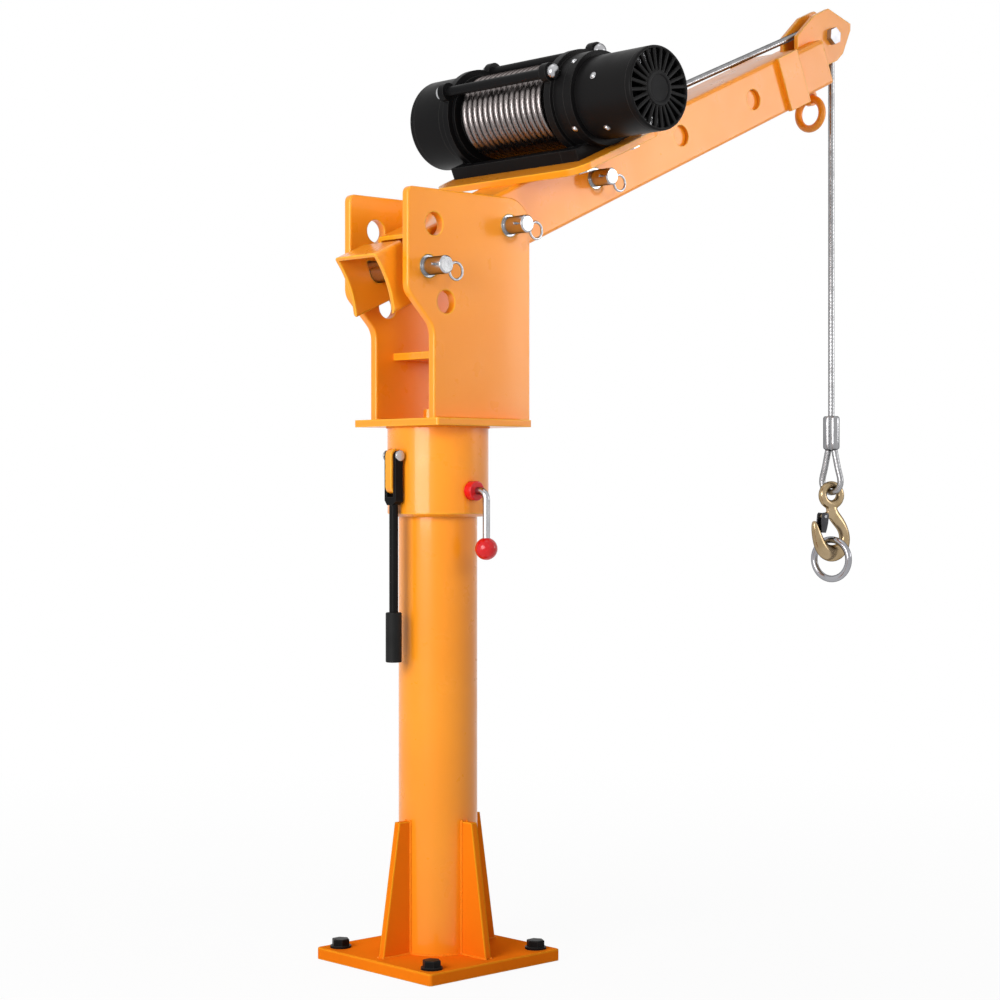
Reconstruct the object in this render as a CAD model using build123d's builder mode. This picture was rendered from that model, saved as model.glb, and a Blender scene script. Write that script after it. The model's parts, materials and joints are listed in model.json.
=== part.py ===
from build123d import *
import math
import os

# Pickup truck crane: a bolted post, a head that turns on it, a pinned boom with a sliding jib,
# an electric winch on the boom, and a wire rope that runs over a sheave to a latched hook.
# Millimetres. The origin is the centre of the foot plate's underside, +Z is up, the boom points along +X.

# Clearances
RUN_CLEARANCE = 0.05
FACE_CLEARANCE = 0.3
SLIDE_CLEARANCE = 0.5

# Foot plate and its bolts
BASE_SIDE = 195.0
BASE_THICK = 13.0
BASE_CORNER = 4.0
BOLT_SPACING = 156.0
BOLT_DIA = 12.0
BOLT_HOLE_DIA = 14.5
BOLT_HEAD_FLATS = 18.0
BOLT_HEAD_HEIGHT = 7.5
BOLT_FLANGE_DIA = 24.0
BOLT_FLANGE_THICK = 2.5
BOLT_HEAD_CHAMFER = 0.8
BOLT_STAND_OUT = 38.0

# Post
COLUMN_DIA = 88.9
COLUMN_WALL = 6.0
COLUMN_LENGTH = 575.0
CAP_THICK = 8.0
THRUST_THICK = 6.0
THRUST_DIA = 80.0
GUSSET_THICK = 8.0
GUSSET_FOOT = 39.5
GUSSET_TOP = 16.0
GUSSET_HEIGHT = 148.0

# Turning head
BUSH_WALL = 6.3
BUSH_LENGTH = 24.0
SLEEVE_WALL = 6.35
SLEEVE_LENGTH = 101.0
SLEEVE_CHAMFER = 3.5
HEAD_PLATE_SIDE = 143.0
HEAD_PLATE_THICK = 8.0
HEAD_PLATE_CORNER = 3.0
HEAD_PLATE_SHIFT = 7.5
KING_DIA = 20.0
KING_HEAD_FLATS = 30.0
KING_HEAD_HEIGHT = 12.0
KING_NUT_HEIGHT = 16.0
KING_THREAD_PAST_NUT = 6.0
CHEEK_THICK = 10.0
CHEEK_ROOM = 9.6
CHEEK_FOOT_REAR = 54.0
CHEEK_REAR = 92.0
CHEEK_WAIST = 100.0
CHEEK_SHOULDER = 138.0
CHEEK_EDGE = 32.0
CHEEK_WAIST_RADIUS = 24.0
CHEEK_SHOULDER_RADIUS = 20.0
CHEEK_TOP_RADIUS = 8.0
CHEEK_ROUND = 2.0
RIB_HEIGHT = 68.0
RIB_THICK = 8.0
RIB_REAR = 28.0
RIB_FRONT = 60.0

# Boom pivot and the pins
PIVOT_X = 60.0
PIVOT_HEIGHT = 220.0
BOOM_ANGLE = 24.0
PIN_DIA = 25.0
PIN_HOLE_DIA = 26.0
PIN_STAND_OUT = 30.0
PIN_HEAD_DIA = 34.0
PIN_HEAD_THICK = 6.0
PIN_CHAMFER = 1.5
PIN_END_DIA = 20.0
LOCK_RADIUS = 133.0
LOCK_TRAVEL = 19.6
SPARE_UPPER_RADIUS = 114.2
SPARE_UPPER_ANGLE = 3.5
CLIP_WIRE = 3.0
CLIP_RADIUS = 9.5
CLIP_ROOM = 3.0
CLIP_TAIL = 5.0
CLIP_DROOP = 35.0
CLIP_FROM_END = 9.0

# Slewing handle on the back of the collar
HANDLE_DROP = 33.0
HANDLE_REACH = 8.5
HANDLE_PIN_DIA = 8.0
HANDLE_PIN_HEAD_DIA = 12.0
HANDLE_PIN_HEAD_THICK = 2.0
LUG_THICK = 10.0
LUG_EDGE = 8.0
LUG_LENGTH = 34.0
FORK_THICK = 4.0
FORK_WIDTH = 11.0
FORK_LENGTH = 46.0
FORK_BRIDGE = 9.0
ROD_DIA = 10.0
ROD_LENGTH = 119.0
GRIP_DIA = 18.0
GRIP_LENGTH = 55.5
GRIP_END = 3.0
GRIP_ROUND = 1.5

# Slewing lock on the side of the collar
LOCK_DROP = 72.0
BOSS_DIA = 22.0
BOSS_STAND_OUT = 9.0
BOSS_ROUND = 1.5
LEVER_DIA = 8.0
LEVER_OUT = 23.4
LEVER_DROP = 64.0
LEVER_BEND = 10.0
KNOB_DIA = 25.0

# Boom
BOOM_SIDE = 70.0
BOOM_WALL = 4.5
BOOM_CORNER = 5.0
BOOM_TAIL = 184.0
BOOM_REACH = 592.0
TUBE_INNER_CORNER = 0.5
TAIL_OPEN = 89.0
TAIL_HOLLOW = 5.5
PIVOT_TUBE_WALL = 5.5
EXTENSION_STEP = 165.0
EXTENSION_PITCH = 150.0
EXTENSION_STAND_OUT = 28.0
DOUBLER_LENGTH = 42.0
DOUBLER_THICK = 6.0

# Winch
WINCH_X = 140.0
WINCH_HEIGHT = 56.0
WINCH_PLATE_LENGTH = 155.0
WINCH_PLATE_WIDTH = 247.0
WINCH_PLATE_BACK = 12.5
WINCH_PLATE_ASIDE = 11.5
WINCH_PLATE_THICK = 8.0
WINCH_PLATE_CORNER = 22.0
WINCH_BOLT_DIA = 10.0
WINCH_BOLT_HOLE_DIA = 10.5
WINCH_BOLT_ALONG = 85.0
WINCH_BOLT_ACROSS = 194.0
WINCH_BOLT_HEAD_FLATS = 17.0
WINCH_BOLT_HEAD_HEIGHT = 8.0
WINCH_BOLT_GRIP = 10.0
BRACKET_RADIUS = 59.0
BRACKET_FOOT_LENGTH = 112.0
BRACKET_FOOT_HEIGHT = 14.0
BRACKET_EAR_RADIUS = 11.0
RAIL_WIDTH = 14.0
GEAR_BRACKET_INNER = 83.0
GEAR_BRACKET_THICK = 22.0
GEAR_BRACKET_RIM = 9.0
MOTOR_BRACKET_INNER = 80.0
MOTOR_BRACKET_THICK = 26.0
MOTOR_BRACKET_RIM = 10.0
TIE_ROD_DIA = 12.0
TIE_ROD_ANGLE = 48.6
TIE_NUT_DIA = 15.0
TIE_NUT_HEIGHT = 6.0
GEARBOX_RADIUS = 54.0
GEARBOX_WALL = 6.0
GEARBOX_LENGTH = 45.0
GEARBOX_COVER_THICK = 9.0
GEARBOX_COVER_ROUND = 4.0
MOTOR_FLANGE_RADIUS = 54.0
MOTOR_FLANGE_THICK = 12.0
MOTOR_RADIUS = 47.5
MOTOR_WALL = 4.0
MOTOR_CAN_LENGTH = 78.0
GRILLE_THICK = 8.0
GRILLE_RIM = 5.0
GRILLE_HUB_RADIUS = 20.0
GRILLE_RIB_COUNT = 24
GRILLE_RIB_WIDTH = 3.6
GRILLE_RIB_ROOT = 1.0
STATOR_LENGTH = 56.0
STATOR_BORE_RADIUS = 30.0

# Drum and rope
ROPE_DIA = 8.5
ROPE_PITCH = 9.0
ROPE_LIFT = 0.3
WIND_RADIUS = 46.0
FAR_TURNS = 8.0
NEAR_TURNS = 6.5
DRUM_FLANGE_RADIUS = 52.0
DRUM_FLANGE_THICK = 4.0
DRUM_WALL = 9.0
DRUM_SHAFT_DIA = 30.0

# Jib, sheave and tie ring
JIB_LENGTH = 474.0
JIB_OUT = 68.8
JIB_WALL = 4.0
JIB_CORNER = 5.0
SHEAVE_OUT = 41.0
SHEAVE_UP = 25.0
SHEAVE_RADIUS = 18.0
SHEAVE_RIM = 6.0
GROOVE_FLARE = 2.0
SHEAVE_HUB_CLEARANCE = 0.05
AXLE_DIA = 12.0
AXLE_HEAD_FLATS = 20.0
AXLE_HEAD_HEIGHT = 7.0
SHEAVE_PLATE_THICK = 6.0
SHEAVE_PLATE_GAP = 18.0
SHEAVE_PLATE_BACK = 35.0
SHEAVE_PLATE_NOSE = 46.0
SHEAVE_PLATE_DEPTH = 33.0
SHEAVE_PLATE_CROWN = 36.0
SHEAVE_PLATE_CORNER = 4.0
SHEAVE_PLATE_TOP_REAR = 24.0
SHEAVE_PLATE_TOP_FRONT = 8.0
SHEAVE_PLATE_CHIN = 14.0
SHEAVE_PLATE_CHIN_RISE = 5.0
SHEAVE_PLATE_HEEL = 2.0
SHEAVE_PLATE_BACK_LEAN = 7.0
SHEAVE_PLATE_BACK_RISE = 21.0
RING_LUG_BACK = 18.0
RING_LUG_DROP = 11.5
RING_LUG_THICK = 8.0
RING_LUG_RADIUS = 10.0
RING_HOLE_DIA = 12.6
RING_RADIUS = 20.0
RING_WIRE = 10.0

# Hook and what hangs on the rope
FALL_LENGTH = 508.4
FERRULE_LENGTH = 45.0
FERRULE_WIDTH = 23.0
FERRULE_DEPTH = 15.0
FERRULE_ROUND = 1.5
EYE_LEG_SPREAD = 9.2
EYE_LENGTH = 57.75
EYE_RADIUS = 14.0
HOOK_YAW = -15.0
LOOP_YAW = -82.0
HOOK_EYE_RADIUS = 17.0
HOOK_EYE_BAR = 11.0
HOOK_EYE_LIFT = 0.6
HOOK_THICK = 14.0
HOOK_ROUND = 2.0
HOOK_DEPTH = 89.0
HOOK_BOWL_OUTER = 30.0
HOOK_BOWL_INNER = 16.0
HOOK_BOWL_THICK = 25.0
HOOK_TIP_HEIGHT = 30.0
HOOK_NECK_HALF = 9.0
HOOK_BACK_OUT = 24.0
HOOK_BACK_RISE = 23.0
HOOK_TIP_LEAN = 1.0
HOOK_TIP_BEVEL = 6.0
HOOK_TIP_WIDTH = 4.0
HOOK_THROAT_OUT = 9.0
HOOK_THROAT_RISE = 13.0
HOOK_NECK_DROP = 10.0
LATCH_SIDE = 14.0
LATCH_BELOW_EYE = 26.0
LATCH_LENGTH = 15.0
LATCH_WIDTH = 8.0
LATCH_HALF_THICK = 6.0
LATCH_WALL = 2.0
LATCH_LEAN = 3.0
LATCH_PIN_DIA = 4.0
LATCH_BOSS_RADIUS = 4.5
LATCH_PIN_STAND_OUT = 1.0
LOAD_RING_RADIUS = 26.5
LOAD_RING_WIRE = 9.0
LOAD_RING_LIFT = 2.2

# Levels and radii that follow from the sizes above
COLUMN_TOP = BASE_THICK + COLUMN_LENGTH
HEAD_UNDER = COLUMN_TOP + CAP_THICK + THRUST_THICK
HEAD_TOP = HEAD_UNDER + HEAD_PLATE_THICK
BUSH_BORE_RADIUS = COLUMN_DIA / 2 + RUN_CLEARANCE
SLEEVE_BORE_RADIUS = BUSH_BORE_RADIUS + BUSH_WALL
SLEEVE_RADIUS = SLEEVE_BORE_RADIUS + SLEEVE_WALL
CHEEK_INNER = BOOM_SIDE / 2 + CHEEK_ROOM
CHEEK_OUTER = CHEEK_INNER + CHEEK_THICK
PIVOT_Z = HEAD_TOP + PIVOT_HEIGHT
CHEEK_TOP = PIVOT_Z + CHEEK_EDGE
CHEEK_FRONT = PIVOT_X + CHEEK_EDGE
JIB_SIDE = BOOM_SIDE - 2 * BOOM_WALL - 2 * SLIDE_CLEARANCE
JIB_TIP = BOOM_REACH + JIB_OUT
JIB_REAR = JIB_TIP - JIB_LENGTH
EXTENSION_FIRST = JIB_REAR - PIN_DIA / 2 - FACE_CLEARANCE
EXTENSION_SECOND = EXTENSION_FIRST + EXTENSION_STEP
PLATE_UNDER = BOOM_SIDE / 2
PLATE_TOP = PLATE_UNDER + WINCH_PLATE_THICK
WINCH_Z = PLATE_TOP + WINCH_HEIGHT
TIE_ROD_OUT = MOTOR_FLANGE_RADIUS + TIE_NUT_DIA / 2 + SLIDE_CLEARANCE
TIE_ROD_SIDE = TIE_ROD_OUT * math.cos(math.radians(TIE_ROD_ANGLE))
TIE_ROD_UP = TIE_ROD_OUT * math.sin(math.radians(TIE_ROD_ANGLE))
GEARBOX_START = GEAR_BRACKET_INNER + GEAR_BRACKET_THICK
MOTOR_FLANGE_START = MOTOR_BRACKET_INNER + MOTOR_BRACKET_THICK
MOTOR_CAN_START = MOTOR_FLANGE_START + MOTOR_FLANGE_THICK
GRILLE_START = MOTOR_CAN_START + MOTOR_CAN_LENGTH
DRUM_RADIUS = WIND_RADIUS - ROPE_DIA / 2 - ROPE_LIFT
SHEAVE_X = JIB_TIP + SHEAVE_OUT
SHEAVE_HALF_WIDTH = SHEAVE_PLATE_GAP / 2 - FACE_CLEARANCE
SHEAVE_PLATE_OUTER = SHEAVE_PLATE_GAP / 2 + SHEAVE_PLATE_THICK

# Directions of the boom: along it, and square to it upwards
ALONG = Vector(math.cos(math.radians(BOOM_ANGLE)), 0, math.sin(math.radians(BOOM_ANGLE)))
UPWARD = Vector(-math.sin(math.radians(BOOM_ANGLE)), 0, math.cos(math.radians(BOOM_ANGLE)))
ACROSS = Vector(0, 1, 0)
PIVOT = Vector(PIVOT_X, 0, PIVOT_Z)


def boom_point(along, across, up):
    """A point given in the boom's own directions, measured from the pivot."""
    return PIVOT + ALONG * along + ACROSS * across + UPWARD * up


def boom_side(across):
    """Plane along the boom at a distance across it; its x runs along the boom and its y upwards."""
    return Plane(origin=PIVOT + ACROSS * across, x_dir=ALONG, z_dir=(0, -1, 0))


def boom_section(along):
    """Plane square to the boom; its x runs across the boom and its y upwards."""
    return Plane(origin=PIVOT + ALONG * along, x_dir=ACROSS, z_dir=ALONG)


def boom_level(up):
    """Plane parallel to the boom's top; its x runs along the boom and its y across it."""
    return Plane(origin=PIVOT + UPWARD * up, x_dir=ALONG, z_dir=UPWARD)


def head_side(across):
    """Upright plane of the head at a distance across it; its x is X and its y is Z."""
    return Plane(origin=(0, across, 0), x_dir=(1, 0, 0), z_dir=(0, -1, 0))


def head_arc_point(radius, angle):
    """A point of the head behind the boom's pivot, at an angle below the level."""
    turn = math.radians(angle)
    return (PIVOT_X - radius * math.cos(turn), PIVOT_Z - radius * math.sin(turn))


os.makedirs("parts", exist_ok=True)

# Foot plate
with BuildPart() as base_plate:
    with BuildSketch():
        RectangleRounded(BASE_SIDE, BASE_SIDE, BASE_CORNER)
    extrude(amount=BASE_THICK)
    chamfer(base_plate.faces().sort_by(Axis.Z)[-1].outer_wire().edges(), 1)
    with Locations((0, 0, BASE_THICK)):
        with GridLocations(BOLT_SPACING, BOLT_SPACING, 2, 2):
            Hole(BOLT_HOLE_DIA / 2)
base_plate.part.label = "base_plate"
export_step(base_plate.part, "parts/base_plate.step")

# Flanged bolts that go down into the truck bed
with BuildPart() as anchor_bolts:
    with BuildSketch(Plane.XY.offset(-BOLT_STAND_OUT)):
        with GridLocations(BOLT_SPACING, BOLT_SPACING, 2, 2):
            Circle(BOLT_DIA / 2)
    extrude(amount=BOLT_STAND_OUT + BASE_THICK)
    with BuildSketch(Plane.XY.offset(BASE_THICK)):
        with GridLocations(BOLT_SPACING, BOLT_SPACING, 2, 2):
            Circle(BOLT_FLANGE_DIA / 2)
    extrude(amount=BOLT_FLANGE_THICK)
    with BuildSketch(Plane.XY.offset(BASE_THICK + BOLT_FLANGE_THICK)):
        with GridLocations(BOLT_SPACING, BOLT_SPACING, 2, 2):
            RegularPolygon(BOLT_HEAD_FLATS / 2, 6, major_radius=False)
    extrude(amount=BOLT_HEAD_HEIGHT)
    chamfer(anchor_bolts.edges().group_by(Axis.Z)[-1], BOLT_HEAD_CHAMFER)
anchor_bolts.part.label = "anchor_bolts"
export_step(anchor_bolts.part, "parts/anchor_bolts.step")

# Post
with BuildPart() as column_tube:
    with BuildSketch(Plane.XY.offset(BASE_THICK)):
        Circle(COLUMN_DIA / 2)
        Circle(COLUMN_DIA / 2 - COLUMN_WALL, mode=Mode.SUBTRACT)
    extrude(amount=COLUMN_LENGTH)
column_tube.part.label = "column_tube"
export_step(column_tube.part, "parts/column_tube.step")

# Stiffeners between post and foot plate
GUSSET_ROOT = COLUMN_DIA / 2 - COLUMN_WALL / 2
with BuildPart() as column_gussets:
    for plane in (Plane.XZ, Plane.YZ):
        for way in (1, -1):
            with BuildSketch(plane):
                with BuildLine():
                    Polyline(
                        (way * GUSSET_ROOT, BASE_THICK),
                        (way * (COLUMN_DIA / 2 + GUSSET_FOOT), BASE_THICK),
                        (way * (COLUMN_DIA / 2 + GUSSET_TOP), BASE_THICK + GUSSET_HEIGHT),
                        (way * GUSSET_ROOT, BASE_THICK + GUSSET_HEIGHT),
                        close=True,
                    )
                make_face()
            extrude(amount=GUSSET_THICK / 2, both=True)
    with BuildSketch(Plane.XY.offset(BASE_THICK)):
        Circle(COLUMN_DIA / 2)
    extrude(amount=GUSSET_HEIGHT, mode=Mode.SUBTRACT)
column_gussets.part.label = "column_gussets"
export_step(column_gussets.part, "parts/column_gussets.step")

# Plate that closes the post, bored for the king bolt
with BuildPart() as column_cap:
    with BuildSketch(Plane.XY.offset(COLUMN_TOP)):
        Circle(COLUMN_DIA / 2)
        Circle(KING_DIA / 2 + RUN_CLEARANCE, mode=Mode.SUBTRACT)
    extrude(amount=CAP_THICK)
column_cap.part.label = "column_cap"
export_step(column_cap.part, "parts/column_cap.step")

# Ring that the head turns on
with BuildPart() as thrust_washer:
    with BuildSketch(Plane.XY.offset(COLUMN_TOP + CAP_THICK)):
        Circle(THRUST_DIA / 2)
        Circle(KING_DIA / 2 + RUN_CLEARANCE, mode=Mode.SUBTRACT)
    extrude(amount=THRUST_THICK)
thrust_washer.part.label = "thrust_washer"
export_step(thrust_washer.part, "parts/thrust_washer.step")

# Collar round the post, with a side hole for the slewing lock
SLEEVE_UNDER = HEAD_UNDER - SLEEVE_LENGTH
LOCK_Z = HEAD_UNDER - LOCK_DROP
with BuildPart() as slew_sleeve:
    with BuildSketch(Plane.XY.offset(SLEEVE_UNDER)):
        Circle(SLEEVE_RADIUS)
        Circle(SLEEVE_BORE_RADIUS, mode=Mode.SUBTRACT)
    extrude(amount=SLEEVE_LENGTH)
    chamfer(slew_sleeve.faces().sort_by(Axis.Z)[0].outer_wire().edges(), SLEEVE_CHAMFER, 1.6 * SLEEVE_CHAMFER)
    with BuildSketch(head_side(0)):
        with Locations((0, LOCK_Z)):
            Circle(BOSS_DIA / 2)
    extrude(amount=2 * SLEEVE_RADIUS, mode=Mode.SUBTRACT)
slew_sleeve.part.label = "slew_sleeve"
export_step(slew_sleeve.part, "parts/slew_sleeve.step")

# Bushes between collar and post
BUSH_LEVELS = (SLEEVE_UNDER + FACE_CLEARANCE, HEAD_UNDER - FACE_CLEARANCE - BUSH_LENGTH)
LOWER_BUSH_LENGTH = min(BUSH_LENGTH, LOCK_Z - BOSS_DIA / 2 - SLEEVE_UNDER - 2 * FACE_CLEARANCE)
with BuildPart() as sleeve_bushes:
    with BuildSketch(Plane.XY.offset(BUSH_LEVELS[0])):
        Circle(SLEEVE_BORE_RADIUS)
        Circle(BUSH_BORE_RADIUS, mode=Mode.SUBTRACT)
    extrude(amount=LOWER_BUSH_LENGTH)
    with BuildSketch(Plane.XY.offset(BUSH_LEVELS[1])):
        Circle(SLEEVE_BORE_RADIUS)
        Circle(BUSH_BORE_RADIUS, mode=Mode.SUBTRACT)
    extrude(amount=BUSH_LENGTH)
sleeve_bushes.part.label = "sleeve_bushes"
export_step(sleeve_bushes.part, "parts/sleeve_bushes.step")

# Plate on the collar
with BuildPart() as head_plate:
    with BuildSketch(Plane.XY.offset(HEAD_UNDER)):
        with Locations((HEAD_PLATE_SHIFT, 0)):
            RectangleRounded(HEAD_PLATE_SIDE, HEAD_PLATE_SIDE, HEAD_PLATE_CORNER)
        Circle(KING_DIA / 2, mode=Mode.SUBTRACT)
    extrude(amount=HEAD_PLATE_THICK)
head_plate.part.label = "head_plate"
export_step(head_plate.part, "parts/head_plate.step")

# King bolt with its nut under the cap
NUT_TOP = COLUMN_TOP - FACE_CLEARANCE
KING_END = NUT_TOP - KING_NUT_HEIGHT - KING_THREAD_PAST_NUT
with BuildPart() as king_bolt:
    with BuildSketch(Plane.XY.offset(KING_END)):
        Circle(KING_DIA / 2)
    extrude(amount=HEAD_TOP - KING_END)
    with BuildSketch(Plane.XY.offset(HEAD_TOP)):
        RegularPolygon(KING_HEAD_FLATS / 2, 6, major_radius=False)
    extrude(amount=KING_HEAD_HEIGHT)
king_bolt.part.label = "king_bolt"
export_step(king_bolt.part, "parts/king_bolt.step")

with BuildPart() as king_nut:
    with BuildSketch(Plane.XY.offset(NUT_TOP - KING_NUT_HEIGHT)):
        RegularPolygon(KING_HEAD_FLATS / 2, 6, major_radius=False)
        Circle(KING_DIA / 2, mode=Mode.SUBTRACT)
    extrude(amount=KING_NUT_HEIGHT)
king_nut.part.label = "king_nut"
export_step(king_nut.part, "parts/king_nut.step")

# Side plates of the head, each with the pivot, lock and spare holes
CHEEK_HOLES = (
    (PIVOT_X, PIVOT_Z),
    head_arc_point(LOCK_RADIUS, BOOM_ANGLE),
    head_arc_point(LOCK_RADIUS, BOOM_ANGLE + LOCK_TRAVEL),
    head_arc_point(SPARE_UPPER_RADIUS, SPARE_UPPER_ANGLE),
)
for cheek_name, cheek_far_face in (("right_cheek", -CHEEK_INNER), ("left_cheek", CHEEK_OUTER)):
    with BuildPart() as cheek:
        with BuildSketch(head_side(cheek_far_face)):
            with BuildLine():
                Polyline(
                    (-CHEEK_FOOT_REAR, HEAD_TOP),
                    (-CHEEK_FOOT_REAR, HEAD_TOP + CHEEK_WAIST),
                    (-CHEEK_REAR, HEAD_TOP + CHEEK_SHOULDER),
                    (-CHEEK_REAR, CHEEK_TOP),
                    (PIVOT_X, CHEEK_TOP),
                )
                RadiusArc((PIVOT_X, CHEEK_TOP), (CHEEK_FRONT, PIVOT_Z), CHEEK_EDGE)
                Polyline((CHEEK_FRONT, PIVOT_Z), (CHEEK_FRONT, HEAD_TOP), (-CHEEK_FOOT_REAR, HEAD_TOP))
            make_face()
            with Locations(*CHEEK_HOLES):
                Circle(PIN_HOLE_DIA / 2, mode=Mode.SUBTRACT)
        extrude(amount=CHEEK_THICK)
        upright_edges = cheek.edges().filter_by(Axis.Y).filter_by(GeomType.LINE).group_by(Axis.X)
        fillet(upright_edges[0].sort_by(Axis.Z)[-1], CHEEK_TOP_RADIUS)
        shoulder_edges = cheek.edges().filter_by(Axis.Y).filter_by(GeomType.LINE).group_by(Axis.X)
        fillet(shoulder_edges[0].sort_by(Axis.Z)[0], CHEEK_SHOULDER_RADIUS)
        waist_height = HEAD_TOP + CHEEK_WAIST
        waist_edges = cheek.edges().filter_by(Axis.Y).filter_by_position(
            Axis.Z, waist_height - 0.5, waist_height + 0.5
        )
        fillet(waist_edges, CHEEK_WAIST_RADIUS)
        outline_edges = [
            edge for edge in cheek.edges()
            if not edge.is_closed and edge.center().Z > HEAD_TOP + CHEEK_ROUND
            and abs(edge.start_point().Y - edge.end_point().Y) < CHEEK_ROUND
        ]
        fillet(outline_edges, CHEEK_ROUND)
    cheek.part.label = cheek_name
    export_step(cheek.part, "parts/" + cheek_name + ".step")

# Level plate between the cheeks
with BuildPart() as head_cross_plate:
    with BuildSketch(Plane.XY.offset(HEAD_TOP + RIB_HEIGHT)):
        with Locations(((RIB_FRONT - RIB_REAR) / 2, 0)):
            Rectangle(RIB_FRONT + RIB_REAR, 2 * CHEEK_INNER)
    extrude(amount=RIB_THICK)
head_cross_plate.part.label = "head_cross_plate"
export_step(head_cross_plate.part, "parts/head_cross_plate.step")

# The three cross pins: pivot and lock pins through the cheeks, extension pin through the boom
EXTENSION_POINT = boom_point(EXTENSION_FIRST, 0, 0)
PIN_SEATS = (
    ("pivot_pin", PIVOT_X, PIVOT_Z, CHEEK_OUTER, PIN_STAND_OUT),
    ("lock_pin", *head_arc_point(LOCK_RADIUS, BOOM_ANGLE), CHEEK_OUTER, PIN_STAND_OUT),
    ("extension_pin", EXTENSION_POINT.X, EXTENSION_POINT.Z, BOOM_SIDE / 2, EXTENSION_STAND_OUT),
)
CLIP_REACH = PIN_END_DIA / 2 + CLIP_ROOM
for pin_name, pin_x, pin_z, seat, stand_out in PIN_SEATS:
    pin_end = -(seat + stand_out)
    clip_across = pin_end + CLIP_FROM_END
    ring_x = pin_x + CLIP_REACH + CLIP_RADIUS * math.cos(math.radians(CLIP_DROOP))
    ring_z = pin_z - CLIP_RADIUS * math.sin(math.radians(CLIP_DROOP))
    ring_plane = Plane(origin=(ring_x, clip_across, ring_z), x_dir=(1, 0, 0), z_dir=(0, -1, 0))
    stud_start = pin_x - PIN_END_DIA / 2 - CLIP_TAIL
    stud_plane = Plane(origin=(stud_start, clip_across, pin_z), x_dir=(0, 1, 0), z_dir=(1, 0, 0))
    with BuildPart() as cross_pin:
        with BuildSketch(head_side(seat)):
            with Locations((pin_x, pin_z)):
                Circle(PIN_DIA / 2)
        extrude(amount=2 * seat)
        with BuildSketch(head_side(-seat)):
            with Locations((pin_x, pin_z)):
                Circle(PIN_END_DIA / 2)
        extrude(amount=stand_out)
        chamfer(cross_pin.faces().sort_by(Axis.Y)[0].edges(), PIN_CHAMFER)
        with BuildSketch(head_side(seat + PIN_HEAD_THICK)):
            with Locations((pin_x, pin_z)):
                Circle(PIN_HEAD_DIA / 2)
        extrude(amount=PIN_HEAD_THICK)
        with BuildSketch(stud_plane):
            Circle(CLIP_WIRE / 2)
        extrude(amount=CLIP_TAIL + PIN_END_DIA + CLIP_ROOM, mode=Mode.SUBTRACT)
    cross_pin.part.label = pin_name
    export_step(cross_pin.part, "parts/" + pin_name + ".step")

    with BuildPart(ring_plane) as pin_ring:
        Torus(CLIP_RADIUS, CLIP_WIRE / 2)
        with BuildSketch(stud_plane):
            Circle(CLIP_WIRE / 2)
        extrude(amount=CLIP_TAIL + PIN_END_DIA + CLIP_ROOM)
    pin_ring.part.label = pin_name + "_ring"
    export_step(pin_ring.part, "parts/" + pin_name + "_ring.step")

# Ear on the back of the collar for the slewing handle
HANDLE_X = -(SLEEVE_RADIUS + HANDLE_REACH)
HANDLE_Z = HEAD_UNDER - HANDLE_DROP
with BuildPart() as handle_lug:
    with BuildSketch(head_side(LUG_THICK / 2)):
        with Locations((HANDLE_X, HANDLE_Z - LUG_LENGTH / 2)):
            Rectangle(2 * LUG_EDGE, LUG_LENGTH)
        with Locations((HANDLE_X, HANDLE_Z), (HANDLE_X, HANDLE_Z - LUG_LENGTH)):
            Circle(LUG_EDGE)
        with Locations((HANDLE_X / 2, HANDLE_Z - LUG_LENGTH / 2)):
            Rectangle(-HANDLE_X, LUG_LENGTH)
        with Locations((HANDLE_X, HANDLE_Z)):
            Circle(HANDLE_PIN_DIA / 2, mode=Mode.SUBTRACT)
    extrude(amount=LUG_THICK)
    with BuildSketch(Plane.XY.offset(SLEEVE_UNDER)):
        Circle(SLEEVE_RADIUS)
    extrude(amount=SLEEVE_LENGTH, mode=Mode.SUBTRACT)
handle_lug.part.label = "handle_lug"
export_step(handle_lug.part, "parts/handle_lug.step")

FORK_INNER = LUG_THICK / 2 + FACE_CLEARANCE
FORK_OUTER = FORK_INNER + FORK_THICK
PIN_HALF = FORK_OUTER + FACE_CLEARANCE
with BuildPart() as handle_pin:
    with BuildSketch(head_side(PIN_HALF)):
        with Locations((HANDLE_X, HANDLE_Z)):
            Circle(HANDLE_PIN_DIA / 2)
    extrude(amount=2 * PIN_HALF)
    for pin_face in (PIN_HALF + HANDLE_PIN_HEAD_THICK, -PIN_HALF):
        with BuildSketch(head_side(pin_face)):
            with Locations((HANDLE_X, HANDLE_Z)):
                Circle(HANDLE_PIN_HEAD_DIA / 2)
        extrude(amount=HANDLE_PIN_HEAD_THICK)
handle_pin.part.label = "handle_pin"
export_step(handle_pin.part, "parts/handle_pin.step")

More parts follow.
